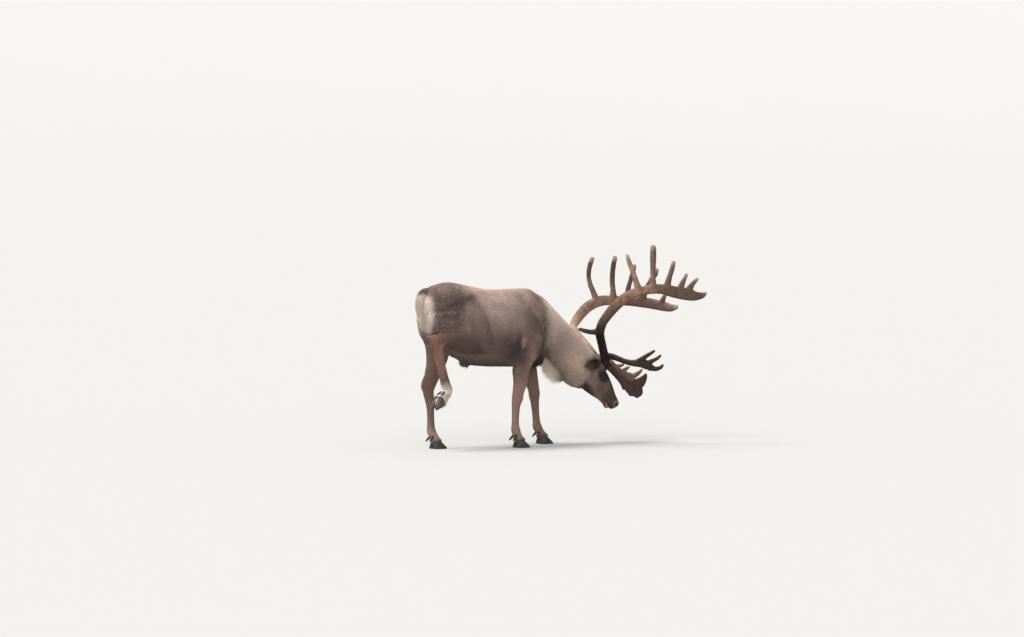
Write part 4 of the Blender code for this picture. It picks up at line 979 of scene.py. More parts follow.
for leg in hoofShape["feet"]:
    inFoot = inFrame(points, footFrame(leg))
    near = (np.abs(inFoot[:, 1]) < 0.08) * (np.abs(inFoot[:, 0] + 0.07) < 0.11)
    coronet = np.maximum(coronet, smoothStep(0.100, 0.070, inFoot[:, 2]) * near * legShare)
lengths *= 1 + 1.1 * coronet
lengths *= 1 + 0.5 * shareOf("neck", weights) * smoothStep(-0.2, -0.8, normals[:, 2])
eyeNear = smoothStep(0.045, 0.022, eyeDistance(points))
lengths *= 1 - 0.55 * eyeNear
widths = formValue("width", blended) * (1 - 0.25 * muzzle) * (1 - 0.35 * eyeNear)
thicknesses = formValue("thickness", blended) * (1 - 0.25 * muzzle)
lifts = np.radians(formValue("lift", blended) + 7 * throat + 10 * coronet)
apart = formValue("apart", blended) * (1 - 0.18 * muzzle) * (1 - 0.25 * eyeNear)
density = (1 - bare) / apart**2

# The unwrap of the skin: along each region's line, and round it
along = np.zeros(len(points))
around = np.zeros(len(points))
for i, region in enumerate(regions):
    mine = nearest == i
    if not mine.any():
        continue
    if region == "torso":
        along[mine] = (points[mine, 0] + 0.55) / 1.10
        around[mine] = np.arctan2(points[mine, 1], points[mine, 2] - 0.94)
    elif region == "head":
        along[mine] = (face[mine, 0] + 0.15) / 0.50
        around[mine] = np.arctan2(face[mine, 1], face[mine, 2] + 0.07)
    elif region == "ear":
        along[mine] = (np.abs(face[mine, 1]) - 0.04) / 0.14
        turned = np.arctan2(face[mine, 2] + 0.09, face[mine, 0] + 0.055)
        around[mine] = turned * 0.5 + np.sign(face[mine, 1]) * math.pi / 2
    else:
        knots = {"neck": neckShape["knots"], "tail": tailKnots}.get(region) or legShapes[region][0]
        middles = np.array(samplesOf(knots, 60))[:, :3]
        away = ((points[mine, None, :] - middles[None, :, :]) ** 2).sum(2)
        closest = away.argmin(1)
        offset = points[mine] - middles[closest]
        tangent = unit(np.gradient(middles, axis=0))[closest]
        ahead = unit(np.cross(tangent, np.array(leftWay)))
        along[mine] = closest / 60
        around[mine] = np.arctan2(offset[:, 1], (offset * ahead).sum(1))
unwrapU = np.clip(along, 0, 1)
unwrapV = around / (2 * math.pi) + 0.5


# Growing the tufts

def colourMesh(piece, colours):
    attribute = piece.data.color_attributes.new(name="coat", type="FLOAT_COLOR", domain="POINT")
    rows = np.ones((len(colours), 4), np.float32)
    rows[:, :3] = colours
    attribute.data.foreach_set("color", rows.ravel())


def quickMesh(name, points, triangles, colours, uvs):
    mesh = bpy.data.meshes.new(name)
    mesh.vertices.add(len(points))
    mesh.vertices.foreach_set("co", points.astype(np.float32).ravel())
    mesh.loops.add(triangles.size)
    mesh.loops.foreach_set("vertex_index", triangles.astype(np.int32).ravel())
    mesh.polygons.add(len(triangles))
    mesh.polygons.foreach_set("loop_start", np.arange(0, triangles.size, 3, dtype=np.int32))
    mesh.update(calc_edges=True)
    layer = mesh.uv_layers.new(name="OFBake")
    layer.data.foreach_set("uv", uvs[triangles.ravel()].astype(np.float32).ravel())
    piece = newPiece(name, mesh)
    colourMesh(piece, colours)
    return piece


patchSize = 0.003
tuftFaces = np.array(((0, 2, 1), (0, 1, 3), (1, 2, 3), (2, 0, 3)))
tuftPatch = np.array(((0.0, 0.05), (1.0, 0.05), (0.5, 0.38), (0.5, 1.0))) * patchSize
tuftTints = np.array((0.86, 0.86, 0.98, 1.10))


def onMap(share):  # keeps every patch inside the map
    return 0.003 + share * 0.990


def tuftMesh(name, corners, shades, u, v, patch):  # four points and four faces for each tuft
    uvs = np.stack((u[:, None] + patch[None, :, 0], v[:, None] + patch[None, :, 1]), 2)
    faces = (tuftFaces[None] + 4 * np.arange(len(corners))[:, None, None]).reshape(-1, 3)
    return quickMesh(name, corners.reshape(-1, 3), faces, shades.reshape(-1, 3), uvs.reshape(-1, 2))


def areasOf(points, faces):
    first, second, third = points[faces].swapaxes(0, 1)
    return 0.5 * np.linalg.norm(np.cross(second - first, third - first), axis=1)


def evenRoots(chance, amounts):  # the faces that even random roots fall on, by each face's share of them
    total = np.cumsum(amounts)
    count = int(total[-1])
    return np.minimum(np.searchsorted(total, np.arange(count) + chance.random(count)), len(amounts) - 1)


def tuftPoints(roots, out, way, length, width, thickness, lift, bend):
    # each tuft is closed: a flat foot in the coat, a ridge a little way along, and a fine tip pressed back
    side = unit(np.cross(out, way))
    rise = np.sin(lift)[:, None]
    flat = np.cos(lift)[:, None]
    size = length[:, None]
    base = roots - out * thickness[:, None] * 0.7
    half = side * width[:, None] * 0.5
    ridge = base + out * thickness[:, None] * 1.25 + (way * flat + out * rise) * size * 0.34
    tip = base + way * flat * size + out * rise * size + side * (bend * length)[:, None]
    return np.stack((base - half, base + half, ridge, tip), 1)


def growCoat(name, share, seed):
    chance = np.random.default_rng(seed)
    index = evenRoots(chance, areasOf(points, triangles) * (density * share)[triangles].mean(1))
    count = len(index)
    a, b = chance.random(count), chance.random(count)
    turned = a + b > 1
    a[turned], b[turned] = 1 - a[turned], 1 - b[turned]
    mix, three = np.stack((1 - a - b, a, b), 1), triangles[index]

    def carry(values):  # a value of the skin, at the roots
        return (values[three] * (mix[..., None] if values.ndim > 1 else mix)).sum(1)

    roots, out, way = carry(points), unit(carry(normals)), carry(ways)
    way = way + 0.13 * chance.normal(size=(count, 3))
    way = unit(way - out * (way * out).sum(1, keepdims=True))
    length = carry(lengths) * chance.uniform(0.75, 1.2, count)
    width = carry(widths) * chance.uniform(0.75, 1.25, count)
    thickness = carry(thicknesses)
    lift = carry(lifts) * chance.uniform(0.65, 1.35, count)
    bend = 0.10 * chance.normal(size=count)
    made = tuftPoints(roots, out, way, length, width, thickness, lift, bend)
    # long hair droops under its weight
    made[:, 3] += np.maximum(length - 0.02, 0)[:, None] * np.array((0, 0, -0.35))
    colour = carry(colours)
    shade = np.exp(0.075 * chance.normal(size=count) + 0.06 * ripple(roots, 0.026, seed + 100))
    pale = (chance.random(count) < 0.12 * carry(flecked))[:, None]
    colour = np.where(pale, colour + (tone(186, 168, 152) * coatColours["gain"] - colour) * 0.26, colour)
    shades = held(np.maximum(colour[:, None, :] * (shade[:, None] * tuftTints[None, :])[..., None], 0.002))
    print("grew", name, count, "tufts")
    return tuftMesh(name, made, shades, onMap(carry(unwrapU)), onMap(carry(unwrapV) % 1.0), tuftPatch)


triangles = trianglesOf(skin)
shares = {region: shareOf(region, weights) for region in regions}
upperSide, front = smoothStep(0.35, 0.85, normals[:, 2]), smoothStep(0.02, -0.02, x)
flecked = 0.35 * shares["torso"] + 2.2 * shares["torso"] * upperSide + 0.9 * shares["neck"]
flecked = np.clip(flecked + 0.08 * shares["head"], 0, 3)
coatShares = {"back_half": shares["torso"] * front, "front_half": shares.pop("torso") * (1 - front)}
coatShares.update(("ears" if region == "ear" else region, share) for region, share in shares.items())
coatPieces = []
for seed, (name, share) in enumerate(coatShares.items(), 1):
    coatPieces.append(growCoat(f"coat_{name}", share, seed))


# Long hair: the throat mane and the tail's fringe, as fine curved locks

maneShape = {
    "sideAngle": 30,
    "start": 0.455,
    "end": 0.97,
    "count": 4300,
    "lengths": (  # share along the neck, length
        (0.44, 0.060), (0.49, 0.125), (0.54, 0.160), (0.60, 0.160),
        (0.66, 0.115), (0.72, 0.068), (0.80, 0.046), (0.97, 0.038),
    ),
    "width": 0.0021,
    "thickness": 0.0014,
    "droop": 0.14,
    "rootDepth": 0.018,
}
tailHairShape = {
    "start": 0.30, "end": 0.98, "count": 420,
    "length": 0.060, "width": 0.0034, "thickness": 0.0018, "droop": 0.10,
}


def lockMesh(name, locks, steps=5):  # curved locks, each of four sides and closed at both ends
    rings, colourRows, uvRows, faces = [], [], [], []
    for lock in locks:
        place, way = np.array(lock["root"]), np.array(lock["way"])
        base, (u, v) = len(rings), lock["uv"]
        for step in range(steps):
            share = step / steps
            if step:
                place = place + way * lock["length"] / steps
            way = way + np.array((0, 0, -lock["droop"])) + np.array(lock["curl"]) * (share - 0.4)
            way = way / np.linalg.norm(way)
            side = lock["side"] - way * (lock["side"] @ way)
            side = side / np.linalg.norm(side)
            out = np.cross(side, way)
            full = (0.55 + 0.45 * math.sin(min(share * 1.9, 1.0) * math.pi / 2)) * (1 - share**2.2) + 0.03
            flat, deep = side * lock["width"] * full / 2, out * lock["thickness"] * full / 2
            for a, b in ((1, 0), (0, 1), (-1, 0), (0, -1)):
                rings.append(place + flat * a + deep * b)
                uvRows.append((u + patchSize * (0.5 + 0.5 * a), v + patchSize * (share + 0.04 * b + 0.05)))
                colourRows.append(lock["rootColour"] + (lock["tipColour"] - lock["rootColour"]) * share)
        rings.append(place + way * lock["length"] / steps)
        uvRows.append((u + 0.0015, v + 0.0031))
        colourRows.append(lock["tipColour"] * 1.08)
        last = base + 4 * steps
        faces += [(base, base + 1, base + 2), (base, base + 2, base + 3)]
        for low in range(base, last - 4, 4):
            high = low + 4
            for i in range(4):
                j = (i + 1) % 4
                faces += [(low + i, high + i, high + j), (low + i, high + j, low + j)]
        for i in range(4):
            faces.append((last - 4 + i, last, last - 4 + (i + 1) % 4))
    return quickMesh(name, np.array(rings), np.array(faces), np.array(colourRows), np.array(uvRows))


def maneColour(share, side):  # whitish at the base of the neck, with beige-brown towards the jaw
    white = float(smoothStep(0.72, 0.62, share + 0.05 * abs(side)))
    colour = tone(112, 98, 85) * (1 - white) + tone(196, 189, 179) * white
    return colour * coatColours["gain"]


def growMane():
    look, chance, locks = maneShape, random.Random(31), []
    knots, stops = neckShape["knots"], list(zip(*maneShape["lengths"]))
    for i in range(look["count"]):
        share = look["start"] + (look["end"] - look["start"]) * (i + chance.random()) / look["count"]
        x, y, z, depth, width = spline(knots, share)
        ahead = Vector(spline(knots, share + 0.02)[:3])
        alongNeck = (ahead - Vector((x, y, z))).normalized()
        down = leftWay.cross(alongNeck).normalized()
        down = down if down.z < 0 else -down
        lean = chance.triangular(-1, 1, 0)
        angle = math.radians(look["sideAngle"] * lean)
        surface = down * depth * math.cos(angle) + leftWay * width * math.sin(angle)
        outward = surface.normalized()
        root = Vector((x, y, z)) + surface - outward * look["rootDepth"]
        clump = 0.5 + 0.5 * math.sin(share * 61 + 1.7 * math.sin(lean * 7 + share * 23))
        length = float(np.interp(share, *stops)) * (0.74 + 0.16 * clump) * chance.triangular(0.35, 1.15, 0.95)
        length = length * (1 - 0.35 * abs(lean)) + 0.016
        sleek = float(smoothStep(0.66, 0.78, share))  # towards the jaw the hair lies back along the neck
        hang = Vector((chance.gauss(0.0, 0.12), chance.gauss(0.0, 0.12), chance.uniform(-0.80, -0.60)))
        way = outward * (0.42 - 0.12 * sleek) + hang * (1 - 0.8 * sleek) - alongNeck * (0.10 + 0.75 * sleek)
        flat = (alongNeck * chance.uniform(0.2, 1.0) + Vector((0, chance.uniform(-1, 1), 0))).normalized()
        colour = maneColour(share + chance.uniform(-0.03, 0.03), lean) * chance.uniform(0.92, 1.08)
        under = tone(118, 103, 91) * coatColours["gain"]
        rooted = colour + (under - colour) * min(1.0, 0.25 + 1.1 * abs(lean))
        locks.append({
            "root": root, "way": way.normalized(), "side": np.array(flat), "length": length,
            "width": look["width"] * chance.uniform(0.6, 1.2) * (0.55 + 4.0 * length),
            "thickness": look["thickness"] * (0.5 + 2.8 * length),
            "droop": look["droop"] * chance.uniform(0.7, 1.2),
            "curl": [chance.uniform(-0.20, 0.20), chance.uniform(-0.20, 0.20), chance.uniform(-0.05, 0.12)],
            "rootColour": held(rooted * 0.90), "tipColour": held(colour * 1.08),
            "uv": (onMap(share), onMap(0.5 + 0.49 * lean)),
        })
    return lockMesh("mane", locks)


def growTailHair():
    look, chance, locks = tailHairShape, random.Random(32), []
    for i in range(look["count"]):
        share = look["start"] + (look["end"] - look["start"]) * (i + chance.random()) / look["count"]
        x, y, z, depth, width = spline(tailKnots, share)
        turn = chance.uniform(0, 2 * math.pi)
        offset = Vector((depth * math.cos(turn), width * math.sin(turn), 0))
        back = math.cos(turn) < 0
        way = Vector((-0.16 * (1 if back else -1), 0.30 * math.sin(turn), -1)).normalized()
        length = look["length"] * chance.uniform(0.5, 1.0) * (0.55 + 0.6 * share)
        colour = (tone(150, 136, 124) if back and share < 0.45 else tone(196, 185, 171)) * coatColours["gain"]
        colour = colour * chance.uniform(0.8, 1.15)
        locks.append({
            "root": Vector((x, y, z)) + offset * 0.75, "way": way,
            "side": np.array((math.sin(turn), math.cos(turn), 0.1)), "length": length,
            "width": look["width"] * chance.uniform(0.7, 1.3), "thickness": look["thickness"],
            "droop": look["droop"], "curl": [chance.uniform(-0.1, 0.1) for _ in range(3)],
            "rootColour": held(colour * 0.85), "tipColour": held(colour * 1.05),
            "uv": (onMap(share), onMap(turn / (2 * math.pi))),
        })
    return lockMesh("tail_hair", locks)


mane, tailHair = growMane(), growTailHair()
print("grew the mane and the tail's hair")


# Antlers in velvet

# The antlers' knots are along, outward and up in the head's frame, then half depth and half width
beamShapes = inMetres({
    "right": (
        (2, 56, 2, 36, 34), (-18, 65, 24, 36, 34), (-66, 84, 30, 33, 31), (-132, 125, 32, 33, 31),
        (-213, 215, 19, 34, 30), (-277, 305, 8, 36, 31), (-326, 370, 25, 36, 31), (-367, 420, 61, 36, 30),
        (-428, 490, 161, 39, 28), (-460, 535, 270, 37, 25), (-446, 540, 396, 34, 23),
        (-402, 510, 528, 38, 21), (-329, 465, 644, 46, 19), (-258, 410, 764, 46, 17),
        (-226, 380, 819, 34, 16), (-212, 355, 870, 24, 15), (-213, 340, 907, 14, 12),
    ),
    "left": (
        (2, 56, 2, 36, 34), (-18, 65, 24, 36, 34), (-84, 88, 14, 32, 30), (-162, 138, 9, 31, 29),
        (-236, 215, 7, 31, 29), (-307, 300, 11, 31, 29), (-349, 355, 29, 31, 28), (-396, 430, 128, 38, 29),
        (-432, 495, 250, 42, 27), (-428, 535, 378, 41, 24), (-383, 545, 486, 37, 22),
        (-326, 520, 603, 38, 20), (-262, 475, 710, 42, 18), (-190, 420, 802, 37, 17),
        (-162, 390, 839, 30, 17), (-152, 365, 875, 18, 14),
    ),
})
tineShapes = inMetres({
    "right": (
        ((-288, 315, -3, 26, 24), (-301, 335, -54, 20, 18), (-333, 365, -113, 17, 16),
         (-369, 395, -160, 11, 10)),
        ((-470, 540, 353, 30, 23), (-549, 525, 368, 21, 19), (-619, 500, 382, 19, 17),
         (-684, 475, 392, 17, 16), (-736, 455, 405, 13, 13)),
        ((-442, 528, 475, 30, 22), (-512, 515, 509, 20, 19), (-585, 505, 546, 21, 20),
         (-657, 495, 584, 24, 22), (-714, 485, 613, 22, 21)),
        ((-386, 495, 581, 34, 20), (-445, 490, 631, 21, 18), (-496, 485, 679, 19, 17),
         (-543, 480, 720, 16, 15)),
        ((-321, 450, 683, 34, 18), (-369, 435, 739, 21, 17), (-411, 415, 797, 13, 13)),
        ((-289, 415, 760, 34, 17), (-325, 400, 819, 19, 16), (-344, 380, 877, 13, 12)),
        ((-70, 92, 34, 28, 25), (-50, 125, 74, 24, 22), (-16, 152, 108, 22, 20), (26, 175, 146, 21, 19),
         (57, 195, 190, 25, 18), (83, 208, 246, 35, 16), (118, 212, 284, 36, 14),
         (150, 208, 314, 22, 13)),
        ((64, 205, 226, 24, 16), (52, 215, 287, 18, 15), (45, 220, 336, 15, 14), (39, 222, 376, 11, 11)),
        ((102, 210, 274, 22, 15), (104, 210, 331, 17, 14), (102, 205, 381, 14, 13),
         (93, 200, 415, 11, 10)),
        ((140, 210, 290, 26, 13), (172, 200, 341, 19, 13), (178, 195, 380, 15, 12),
         (170, 190, 405, 11, 10)),
        ((-22, 60, 22, 33, 28), (28, 52, 50, 28, 21), (104, 36, 82, 27, 16), (167, 22, 110, 33, 13),
         (216, 12, 128, 48, 12)),
        ((190, 14, 122, 38, 12), (240, 6, 156, 56, 11), (274, 2, 176, 64, 10), (300, 0, 182, 58, 9),
         (318, -1, 180, 44, 9), (330, -2, 176, 22, 8), (334, -2, 175, 10, 7)),
        ((230, 6, 158, 42, 11), (240, 2, 205, 50, 11), (236, -1, 246, 42, 10), (222, -3, 280, 30, 9),
         (206, -4, 304, 17, 8), (196, -5, 314, 9, 7)),
    ),
    "left": (
        ((-320, 320, 10, 26, 24), (-338, 345, -46, 20, 18), (-366, 372, -100, 16, 15),
         (-392, 398, -140, 11, 10)),
        ((-453, 530, 341, 32, 24), (-512, 520, 341, 22, 20), (-576, 510, 339, 20, 18),
         (-637, 500, 347, 18, 17), (-691, 485, 367, 18, 17), (-734, 470, 395, 19, 18),
         (-764, 455, 420, 18, 17)),
        ((-407, 540, 478, 32, 22), (-468, 530, 501, 21, 19), (-532, 520, 519, 20, 18),
         (-592, 510, 545, 19, 18), (-650, 500, 576, 20, 19), (-694, 490, 605, 18, 17)),
        ((-360, 520, 584, 30, 20), (-426, 515, 614, 20, 18), (-480, 505, 655, 18, 17),
         (-530, 495, 695, 18, 17), (-574, 485, 725, 17, 16)),
        ((-310, 490, 678, 34, 19), (-371, 475, 738, 21, 18), (-417, 460, 796, 20, 18),
         (-453, 445, 841, 24, 21), (-477, 435, 861, 22, 20)),
        ((-219, 430, 789, 30, 17), (-258, 415, 827, 18, 15), (-280, 400, 857, 12, 12)),
        ((-74, 88, 12, 28, 25), (-52, 112, 72, 25, 23), (6, 136, 124, 23, 21), (83, 165, 164, 22, 20),
         (141, 190, 204, 26, 18), (180, 205, 244, 34, 16), (194, 210, 276, 24, 14)),
        ((48, 155, 138, 20, 18), (66, 180, 189, 15, 14), (73, 200, 233, 10, 10)),
        ((121, 190, 197, 22, 16), (114, 210, 243, 15, 14), (110, 220, 274, 10, 10)),
        ((191, 208, 262, 24, 15), (184, 210, 322, 16, 14), (172, 210, 359, 10, 10)),
        ((-16, 62, 20, 30, 27), (14, 62, 76, 21, 19), (58, 60, 108, 16, 14), (104, 62, 132, 10, 10)),
    ),
})
antlerLook = {
    "voxel": 0.0037,
    "smoothing": 12,
    "swell": 0.0008,
    "fuzz": 0.0042,
    "fuzzApart": 0.0041,
    "fuzzWidth": 0.0008,
    # painted shade: the near antler's low beam, near-black
    "dark": tone(21, 15, 14),
    "mid": tone(78, 63, 53),
    "warm": tone(120, 96, 84),
    "palm": tone(82, 67, 61),
    "core": tone(60, 48, 45),  # the far antler's tines
    "tip": tone(150, 135, 117),
    # painted light: the far antler's low beam, paler
    "litFarBeam": tone(150, 127, 111),
    "paintedTopLight": tone(142, 120, 103),  # painted light: the upper side painted paler, as lit from above
    # painted light: the pale of the fuzz tips, for the glow of backlit velvet hair
    "rim": tone(196, 180, 158),
    # the near (right) bez and brow painted darker as shade, the far (left) ones paler as painted light
    "bez": {"right": tone(40, 30, 28), "left": tone(98, 77, 68)},
    "brow": {"right": tone(50, 39, 38), "left": tone(84, 67, 60)},
}


def velvetColour(points, name):
    look, side = antlerLook, 1 if name == "left" else -1
    along, out, up = (inHead(points) * (1, side, 1)).T
    colour = np.repeat(look["mid"][None, :], len(points), 0)
    patches = ripple(points, 0.060, 71 + side)
    lower = smoothStep(0.47, 0.30, out) * smoothStep(0.06, 0.00, along)
    upper = smoothStep(0.10, 0.24, up) * (along < -0.2)
    high = smoothStep(0.44, 0.60, up)
    # painted shade and light: the near antler's low beam near-black, the far one's paler and warmer
    if name == "right":
        paint(colour, look["dark"], 0.97 * lower)
        paint(colour, look["mid"], 0.20 * lower * smoothStep(0.3, 1.0, patches))
    else:
        paint(colour, look["litFarBeam"], 0.85 * lower * smoothStep(0.06, 0.14, out))
        paint(colour, look["warm"], 0.5 * lower * smoothStep(0.2, 0.9, patches))
    paint(colour, look["warm"], upper * (1 - high) * (0.55 + 0.35 * patches))
    paint(colour, look["palm"], high * (0.75 + 0.2 * patches) * (along < 0.0))
    paint(colour, look["bez"][name], 0.90 * smoothStep(-0.07, 0.02, along) * smoothStep(0.08, 0.12, out))
    paint(colour, look["brow"][name], 0.92 * (smoothStep(0.01, 0.05, along) * smoothStep(0.11, 0.08, out)))
    if name == "left":
        paint(colour, look["core"], 0.85 * smoothStep(1.21, 1.28, points[:, 2]))
        paint(colour, look["core"], 0.35 * high)
    return colour


def buildAntler(name):
    look, side = antlerLook, 1 if name == "left" else -1
    across = headFrame.to_3x3() @ leftWay
    beam, tines = headKnots(beamShapes[name], side), [headKnots(knots, side) for knots in tineShapes[name]]
    forms = [limb("beam", beam, across, 22, 110)]
    forms += [limb("tine", knots, across, 18, 9 * (len(knots) - 1)) for knots in tines]
    antler = remeshed(joined(f"velvet_{name}", forms), look["voxel"], look["smoothing"])
    points, normals = pointsOf(antler), normalsOf(antler)
    # low swells and long soft ridges along the beam, as blood vessels leave under the velvet
    ridges = ripple(points * (1.0, 1.0, 0.3), 0.026, 80) * 0.0003 + ripple(points, 0.085, 81) * 0.0009
    movePoints(antler, points + normals * (look["swell"] + ridges)[:, None])
    points, normals = pointsOf(antler), normalsOf(antler)
    colour = velvetColour(points, name)
    tip = np.zeros(len(points))
    for knots in [beam, *tines]:
        end = np.array(knots[-1][:3])
        place = inHead(end[None, :])[0]
        if place[2] > 0.40 and place[0] < 0.0:  # the low branches have no pale points
            tip = np.maximum(tip, smoothStep(0.045, 0.006, np.linalg.norm(points - end, axis=1)))
    paint(colour, look["tip"], tip * 0.62)
    # painted shade: darker where the velvet faces down
    colour *= 1 - 0.35 * smoothStep(0.10, 0.80, -normals[:, 2])[:, None]
    # painted light: faces turned up, and a little back, painted paler, more so high on the antler
    upper = smoothStep(0.35, 0.95, normals[:, 2] - 0.25 * normals[:, 0])
    high = smoothStep(0.25, 0.50, inHead(points)[:, 2])
    paint(colour, look["paintedTopLight"], upper * (0.20 + 0.22 * high))
    colour *= (1 + 0.16 * ripple(points, 0.040, 82) + 0.09 * ripple(points, 0.013, 83))[:, None]
    colour = np.clip(colour * coatColours["gain"], 0.004, 0.9)
    colourMesh(antler, colour)
    return antler, growFuzz(name, trianglesOf(antler), points, normals, colour)


fuzzPatch = np.array(((0.0, 0.1), (1.0, 0.1), (0.5, 0.0), (0.5, 1.0))) * patchSize
fuzzGlowShares = np.array((0.25, 0.25, 0.5, 1.0))


def growFuzz(name, faces, points, normals, colour):  # short hairs that stand off the velvet, their tips painted pale as the glow of backlit velvet
    look, chance = antlerLook, np.random.default_rng(41 if name == "left" else 42)
    index = evenRoots(chance, areasOf(points, faces) / look["fuzzApart"] ** 2)
    count, three = len(index), faces[index]
    mix = chance.dirichlet((1, 1, 1), count)[..., None]
    roots, base = (points[three] * mix).sum(1), (colour[three] * mix).sum(1)
    out = unit((normals[three] * mix).sum(1))
    outward = np.array(headFrame.to_3x3() @ Vector((-0.4, 0, 1)))
    way = unit(outward + 0.5 * chance.normal(size=(count, 3)))
    way = unit(way - out * (way * out).sum(1, keepdims=True))
    size = look["fuzz"] * chance.uniform(0.6, 1.25, count)[:, None]
    half = unit(np.cross(out, way)) * look["fuzzWidth"] / 2
    root = roots - out * 0.0006
    ridge, tip = root + way * look["fuzzWidth"] * 0.8, root + (out * 0.50 + way * 0.86) * size
    # painted light: each hair lightens towards its tip, as backlit velvet glows
    pale = base * 1.35 + look["rim"] * coatColours["gain"] * 0.17
    shades = base[:, None, :] + (pale - base)[:, None, :] * fuzzGlowShares[None, :, None]
    place = inHead(roots)
    turn = np.arctan2(out[:, 1], out[:, 0]) / (2 * math.pi) + 0.5
    u, v = onMap(np.clip((place[:, 2] + 0.35) / 1.30, 0, 1)), onMap((turn + place[:, 0] * 3) % 1.0)
    made = np.stack((root - half, root + half, ridge, tip), 1)
    return tuftMesh(f"velvet_fuzz_{name}", made, shades, u, v, fuzzPatch)


antlers = {name: buildAntler(name) for name in ("right", "left")}
print("grew the antlers:", [len(antler.data.polygons) for antler, _ in antlers.values()])


# Eyes: a glossy ball with a clear bulge in front, a brown iris and a level pupil

def eyeBall(name, side):
    radius = eyeShape["radius"] - 0.0003
    shape = bmesh.new()
    bmesh.ops.create_uvsphere(shape, u_segments=64, v_segments=40, radius=radius)
    for vert in shape.verts:
        away = math.acos(max(-1.0, min(1.0, vert.co.z / radius)))
        bulge = 0.0011 * max(0.0, math.cos(min(away / math.radians(42), 1.0) * math.pi / 2))
        vert.co *= 1 + bulge / radius
    toFront = Matrix(((0, 0, 1, 0), (0, 1, 0, 0), (-1, 0, 0, 0), (0, 0, 0, 1)))
    bmesh.ops.transform(shape, matrix=toFront, verts=shape.verts)
    ball = steady(keepMesh(name, shape))
    ahead, across, up = pointsOf(ball).T
    colour = np.repeat(tone(52, 42, 38)[None, :], len(ahead), 0)
    iris, pupil = np.hypot(across, up), np.hypot(across / 0.0078, up / 0.0038)
    paint(colour, tone(36, 23, 15), smoothStep(0.0136, 0.0124, iris) * (ahead > 0))
    paint(colour, tone(7, 7, 10), smoothStep(1.15, 0.85, pupil) * (ahead > 0))
    colourMesh(ball, colour)
    ball.data.transform(eyeFrame(side))
    return ball


eyes = {"right": eyeBall("eyeball_right", -1), "left": eyeBall("eyeball_left", 1)}


# Hooves and dewclaws: flat soles on the floor, growth rings round the walls

def hoofClaw(leg, side):
    look = hoofShape
    turn = Matrix.Rotation(side * math.radians(look["splay"]), 4, "Z")
    place = footFrame(leg) @ Matrix.Translation((-look["length"], side * look["apart"], 0)) @ turn
    rings = []
    for share, halfWidth, height in samplesOf(look["profile"], 40):
        share = min(max(share, 0.0), 1.0)
        bow = side * 0.006 * math.sin(math.pi * share)
        ring = []
        for i in range(32):
            angle = 2 * math.pi * i / 32
            turned, raised = math.cos(angle), math.sin(angle)
            if raised < 0:  # the flat sole, with a tight edge
                lift, reach = max(0.0, 0.20 * (1 + 3.2 * raised)), math.copysign(abs(turned) ** 0.45, turned)
            else:
                lift, reach = 0.20 + 0.80 * raised, turned * (1 - 0.22 * raised)
            rise = look["height"] * height * lift
            groove = look["groove"] * math.sin(rise * 2 * math.pi / look["grooveApart"]) * (rise > 0.006)
            across = (halfWidth * 0.96 + groove) * reach + bow
            ring.append(place @ Vector((look["length"] * share, across, rise)))
        rings.append(ring)
    return loft("claw", rings)


def dewClaw(leg, side):
    place = footFrame(leg)
    start, end = hoofShape["dewLifted"] if hoofShape["feet"][leg][1] else hoofShape["dewStanding"]
    knots = []
    for share, radius in hoofShape["dewKnots"]:
        knots.append((*(place @ sided(Vector(start).lerp(Vector(end), share), side)), radius, radius * 1.1))
    return limb("dewclaw", knots, sides=18, steps=14)


hooves = {}
for leg in hoofShape["feet"]:
    claws = [hoofClaw(leg, side) for side in (1, -1)] + [dewClaw(leg, side) for side in (1, -1)]
    hooves[leg] = joined(f"hooves_{leg}", claws)
print("made the hooves")


# Materials: sockets as values in plain sums, and one method for every other node

def operator(kind, reflected=False):
    def apply(wire, other):
        first, second = (other, wire) if reflected else (wire, other)
        return wire.finish.add("Math", {"operation": kind}, {0: first, 1: second})

    return apply


class Wire:
    def __init__(self, finish, socket):
        self.finish = finish
        self.socket = socket

    __add__, __radd__ = operator("ADD"), operator("ADD", True)
    __sub__, __rsub__ = operator("SUBTRACT"), operator("SUBTRACT", True)
    __mul__, __rmul__ = operator("MULTIPLY"), operator("MULTIPLY", True)


class Finish:
    def __init__(self, name, shaderValues):
        self.material = bpy.data.materials.new(name)
        self.material.use_nodes = True
        self.tree = self.material.node_tree
        self.shader = self.tree.nodes["Principled BSDF"]
        for socketName, value in shaderValues.items():
            self.shader.inputs[socketName].default_value = value

    def add(self, kind, settings, sockets, output=0):
        node = self.tree.nodes.new("ShaderNode" + kind)
        for setting, value in settings.items():
            if setting == "stops":
                elements = node.color_ramp.elements
                while len(elements) < len(value):
                    elements.new(0.5)
                for element, (place, colour) in zip(elements, value):
                    element.position = place
                    element.color = (*colour, 1.0)
            else:
                setattr(node, setting, value)
        for name, value in sockets.items():
            self.feed(node.inputs[name], value)
        return Wire(self, node.outputs[output])

    def feed(self, socket, value):
        if isinstance(value, Wire):
            self.tree.links.new(value.socket, socket)
        else:
            socket.default_value = value

    def give(self, **sockets):
        for name, value in sockets.items():
            self.feed(self.shader.inputs[name.replace("_", " ")], value)

    def noise(self, scale, detail=3.0, stretch=(1.0, 1.0, 1.0)):
        where = self.add("Mapping", {}, {"Vector": self.add("TexCoord", {}, {}, "Object"), "Scale": stretch})
        return self.add("TexNoise", {}, {"Vector": where, "Scale": scale, "Detail": detail})

    def tinted(self, colour, gain):  # a colour times a value
        return self.add("VectorMath", {"operation": "SCALE"}, {0: colour, "Scale": gain})

    def mixed(self, share, first, second):
        return self.add("Mix", {"data_type": "RGBA"}, {0: share, 6: first, 7: second}, 2)

    def bump(self, height, strength, distance):
        return self.add("Bump", {}, {"Height": height, "Strength": strength, "Distance": distance})


